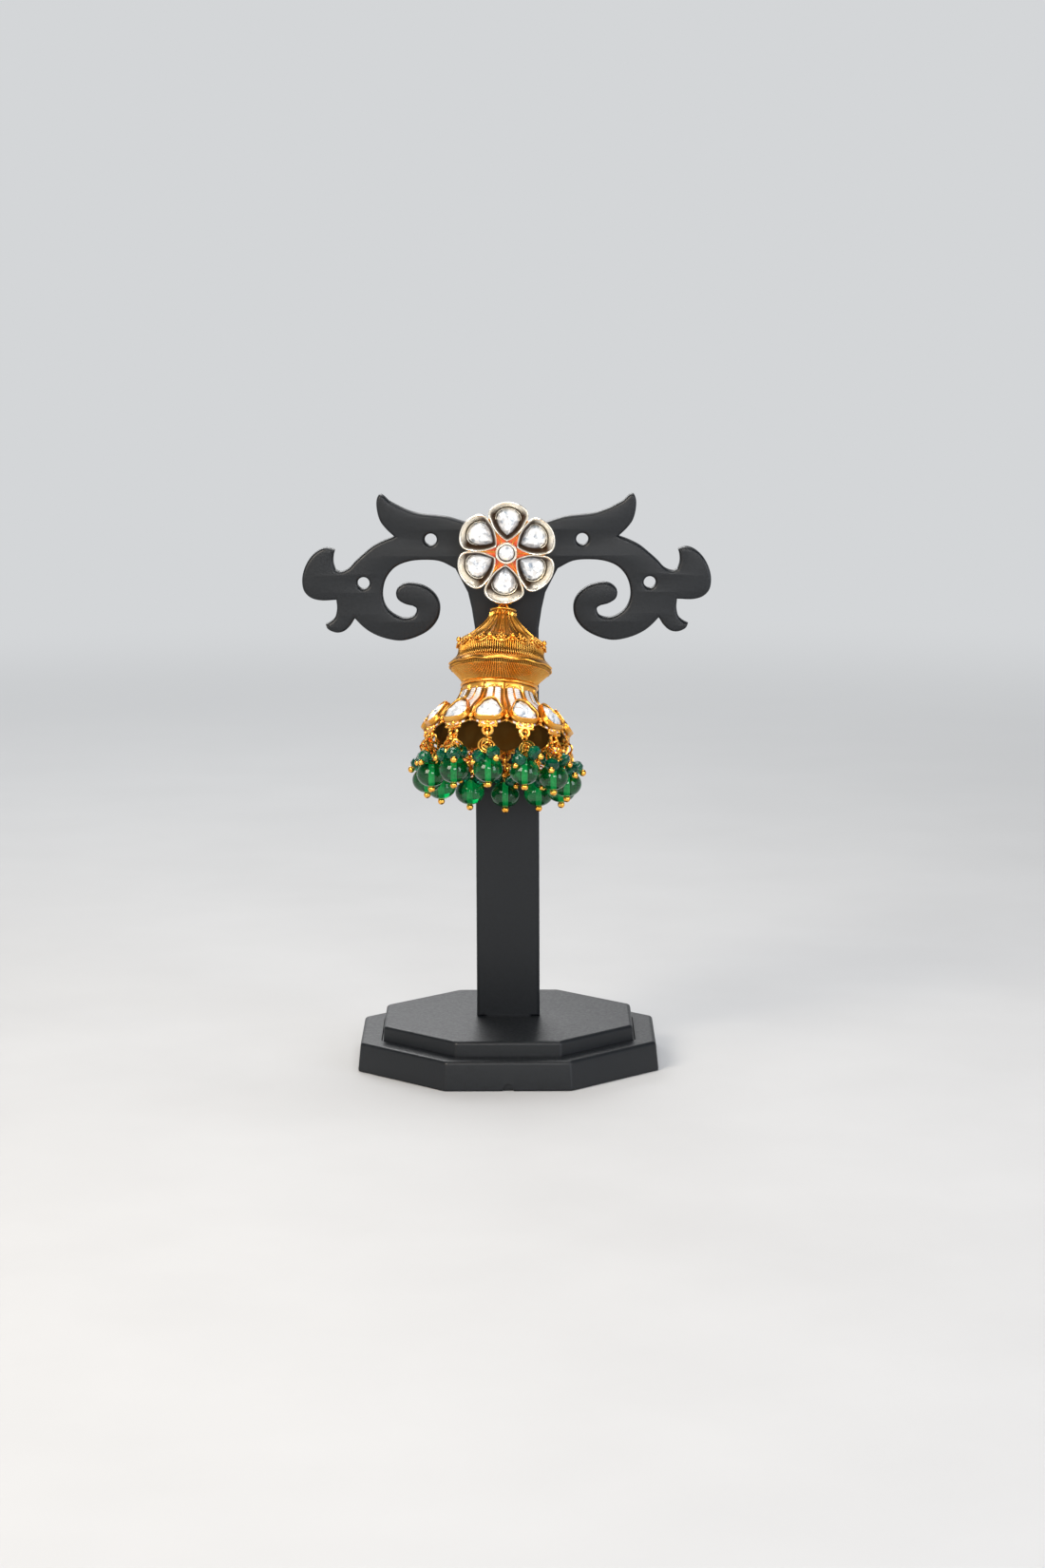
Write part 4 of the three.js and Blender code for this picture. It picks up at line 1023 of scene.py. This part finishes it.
# Bead clusters: a hanger, a tangle of wire, a large round bead and three cut beads on ball pins.
# The beads that look out, stand beside the upright or end the row have their own turns and heights.
cluster = {
    "hanger": 1.0, "hangerWire": 0.4, "wire": 0.36, "stem": 3.3, "stemWire": 0.4, "pinWire": 0.28,
    "largeWidth": 5.6, "largeHeight": 4.9, "beadBite": 0.2, "boreRadius": 0.38, "smallWidth": 2.8,
    "ball": 1.35, "postGap": 1.0, "postReach": 2.0, "hangerDrop": 0.2, "loops": 10, "loopSize": 2.0,
    "open": [(38, 0.45), (-62, 0.7), (170, 0.55)], "post": [(118, 0.45), (-122, 0.7)],
    "outermost": [(8, 0.55), (-62, 0.7), (170, 0.55)], "outermostNumbers": [4, 10],
    "coiled": [1, 2, 4, 6, 9], "coiledLoops": 4, "coiledLoopSize": 1.0, "tangleHeight": 2.2,
    "pinFoot": 0.35, "pinLength": 1.85, "pinSlant": (48, 66), "pinTurn": (-9, 9),
}


def clusterPlaces():
    places = []
    beadBelow = 2 * cluster["hanger"] + cluster["stem"] + cluster["largeHeight"] / 2
    limit = -tree["thickness"] / 2 - cluster["postGap"] - cluster["largeWidth"] / 2
    eyeRadius, eyeDown = eyePlace
    for i in range(panels):
        turn = bellTurn + i * panelStep
        hang = dropFrame @ Vector(onAxis(eyeDown + cluster["hangerDrop"], eyeRadius, turn))
        nearPost = (abs(hang.x) < (tree["postWidth"] + cluster["largeWidth"]) / 2
                    and hang.y > limit - cluster["postReach"])
        push = max(0.0, hang.y - limit) if nearPost else 0.0
        place = (Matrix.Translation(hang) @ rotation(-math.asin(push / beadBelow), "X")
                 @ rotation(turn - math.pi / 2, "Z"))
        free = cluster["outermost"] if i + 1 in cluster["outermostNumbers"] else cluster["open"]
        places.append((place, cluster["post"] if nearPost else free))
    return places


# Loops of thin wire wound round the stem, each turned its own way.
def wireTangle(draw, top, loops, largest):
    angles = circle(30)
    parts = []
    for i in range(loops):
        radius = draw.uniform(0.5, 1) * largest
        wobble = 1 + 0.12 * np.sin(2 * angles + draw.uniform(0, 6))
        wobble += 0.07 * np.sin(3 * angles + draw.uniform(0, 6))
        x = np.cos(angles) * radius * wobble
        y = np.sin(angles) * radius * wobble * draw.uniform(0.6, 1)
        flat = np.stack([x, y, 0.18 * np.sin(2 * angles + draw.uniform(0, 6))], 1)
        spin = (rotation(draw.uniform(0, 6.28), "Z") @ rotation(draw.uniform(0.7, 2.4), "X")
                @ rotation(draw.uniform(0, 6.28), "Z"))
        down = cluster["tangleHeight"] * (i + 0.5) / loops
        place = (draw.uniform(0, 0.7), draw.uniform(-0.4, 0.4), top - 0.2 - down)
        loop = wireAlong(flat, cluster["wire"] / 2, 6, closed=True)
        parts.append(movedPart(loop, Matrix.Translation(place) @ spin))
    return parts


# A flat coil of wire that faces outwards, wound from the middle.
def wireCoil(draw, top):
    first = draw.uniform(0, 6)
    angles = np.linspace(0.6, 5.4 * math.pi, 70)
    radius = 0.3 + 0.088 * angles
    path = np.stack([0.9 + 0.12 * np.sin(angles), np.sin(angles + first) * radius,
                     top - 1.1 + np.cos(angles + first) * radius * 0.9], 1)
    return wireAlong(path, cluster["wire"] / 2, 6)


def cutBead(width):
    rows = [(0.35, 0.42), (0.82, 0.27), (1.0, 0.06), (1.0, -0.06), (0.82, -0.27), (0.35, -0.42)]
    return skin([flatRing(width / 2 * size, z * width, 10, (i % 2) * math.pi / 10)
                 for i, (size, z) in enumerate(rows)])


def buildCluster(number, place, smallBeads):
    draw = random.Random(300 + number)
    width, height, small = cluster["largeWidth"], cluster["largeHeight"], cluster["smallWidth"]
    top = -2 * cluster["hanger"]
    beadZ = top - cluster["stem"] - (height - cluster["beadBite"]) / 2
    beadFoot = beadZ - height / 2
    metal = [ringOfWire(cluster["hanger"], cluster["hangerWire"], (0, 0, -cluster["hanger"]), "Y", 28, 8)]
    stem = [(0, 0, z) for z in np.linspace(top + 0.2, beadFoot - 0.2, 8)]
    metal.append(wireAlong(stem, cluster["stemWire"] / 2))
    if number in cluster["coiled"]:
        metal.append(wireCoil(draw, top))
        metal.extend(wireTangle(draw, top, cluster["coiledLoops"], cluster["coiledLoopSize"]))
    else:
        metal.extend(wireTangle(draw, top, cluster["loops"], cluster["loopSize"]))
    metal.append(ball(cluster["ball"] / 2, (0, 0, beadFoot - 0.42), around=18, rows=10))
    cut = []
    for turn, below in smallBeads:
        angle = math.radians(turn + draw.uniform(*cluster["pinTurn"]))
        slant = math.radians(draw.uniform(*cluster["pinSlant"]))
        out = np.array([math.cos(angle), math.sin(angle), 0])
        along = out * math.sin(slant) - (0, 0, math.cos(slant))
        start = out * cluster["pinFoot"] + (0, 0, top - below * cluster["stem"] + 0.3)
        middle = start + along * cluster["pinLength"]
        end = middle + along * (small * 0.42 + 0.35)
        aim = Vector(along).to_track_quat("Z", "Y").to_matrix().to_4x4()
        cut.append(movedPart(cutBead(small), Matrix.Translation(Vector(middle)) @ aim))
        metal.append(wireAlong(np.linspace(start, end, 4), cluster["pinWire"] / 2, 6))
        metal.append(ball(cluster["ball"] / 2 * draw.uniform(0.85, 1), end))
    name = f"bead_cluster_{number}"
    tangle = movedPart(joinParts(metal), place)
    addPiece(f"wire_tangle_{number}", tangle, wireGold, "drop", name)
    small = movedPart(joinParts(cut), place)
    addPiece(f"cut_beads_{number}", small, teal, "drop", name, crease=None)
    glass = ball(width / 2, (0, 0, beadZ), height / width, around=40, rows=24)
    drilled = [(0, 0, beadZ + share * height * 0.47) for share in np.linspace(-1, 1, 5)]
    bead = movedPart(joinParts([glass, wireAlong(drilled, cluster["boreRadius"], 20)]), place)
    addPiece(f"emerald_bead_{number}", bead, emerald, "drop", name,
             core=(len(glass["faces"]), bore))


for number, (place, smallBeads) in enumerate(clusterPlaces(), 1):
    buildCluster(number, place, smallBeads)
print("clusters built")

# Pale studio: a floor that fades into a pale wall, a soft key from the upper left, and four weaker lights.
# Each light is a name, a place, a width, a height, a power and a colour.
studio = {
    "floor": ("#C6C7C8", "#CACBCC"), "wall": "#D4D6D8", "ceiling": "#474B51", "floorRadius": 3.0,
    "fade": (0.06, 0.75), "aim": (0, -12, 75),
    "lights": [
        ("key", (-330, -430, 400), 300, 340, 3.4, "#FFF4E6"),
        ("front", (90, -640, 300), 220, 160, 1.2, "#FFFFFF"),
        ("fill", (430, -360, 200), 200, 340, 1.1, "#F2F5FF"),
        ("top", (40, 60, 520), 320, 320, 1.5, "#FFFFFF"),
        ("back", (-120, 460, 330), 340, 240, 1.0, "#FFFFFF"),
    ],
}


# Smooth pale paper that turns into the wall's even light as it goes out.
def paleFloor():
    material, add, place = startMaterial("paleFloor")
    low, high = studio["floor"]
    mottle = add("TexNoise", {"Vector": place, "Scale": perMm(40), "Detail": 3})
    colour = add("ValToRGB", {"Fac": mottle}, [(0.3, low), (0.7, high)])
    paper = add("BsdfPrincipled", {"Base Color": colour, "Roughness": 0.8})
    distance = add("VectorMath", {0: place}, operation="LENGTH").outputs["Value"]
    start, end = studio["fade"]
    far = add("MapRange", {"Value": distance, "From Min": start, "From Max": end},
              interpolation_type="SMOOTHSTEP")
    wall = add("Emission", {"Color": studio["wall"]})
    add("OutputMaterial", {"Surface": add("MixShader", {0: far, 1: paper, 2: wall})})
    return material


def buildStudio():
    mesh = bpy.data.meshes.new("studioFloor")
    rim = flatRing(studio["floorRadius"], 0, 96)
    mesh.from_pydata(rim.tolist(), [], [tuple(range(len(rim)))])
    mesh.materials.append(paleFloor())
    floor = bpy.data.objects.new("studioFloor", mesh)
    scene.collection.objects.link(floor)
    world = bpy.data.worlds.new("studioWall")
    scene.world = world
    world.use_nodes = True
    sky = world.node_tree
    direction = addNode(sky, "TexCoord").outputs["Generated"]
    height = addNode(sky, "SeparateXYZ", {0: direction}).outputs["Z"]
    shade = addNode(sky, "ValToRGB", {"Fac": height}, [
        (0.16, studio["wall"]), (0.5, studio["ceiling"])])
    sky.links.new(shade.outputs[0], sky.nodes["Background"].inputs["Color"])
    for name, place, width, height, power, colour in studio["lights"]:
        data = bpy.data.lights.new(name, "AREA")
        data.shape = "RECTANGLE"
        data.size = width * mm
        data.size_y = height * mm
        data.energy = power
        data.color = linear(colour)[:3]
        light = bpy.data.objects.new(name, data)
        light.location = Vector(place) * mm
        light.rotation_mode = "QUATERNION"
        light.rotation_quaternion = (Vector(studio["aim"]) - Vector(place)).to_track_quat("-Z", "Y")
        light.visible_camera = False
        scene.collection.objects.link(light)


buildStudio()
print("studio set")
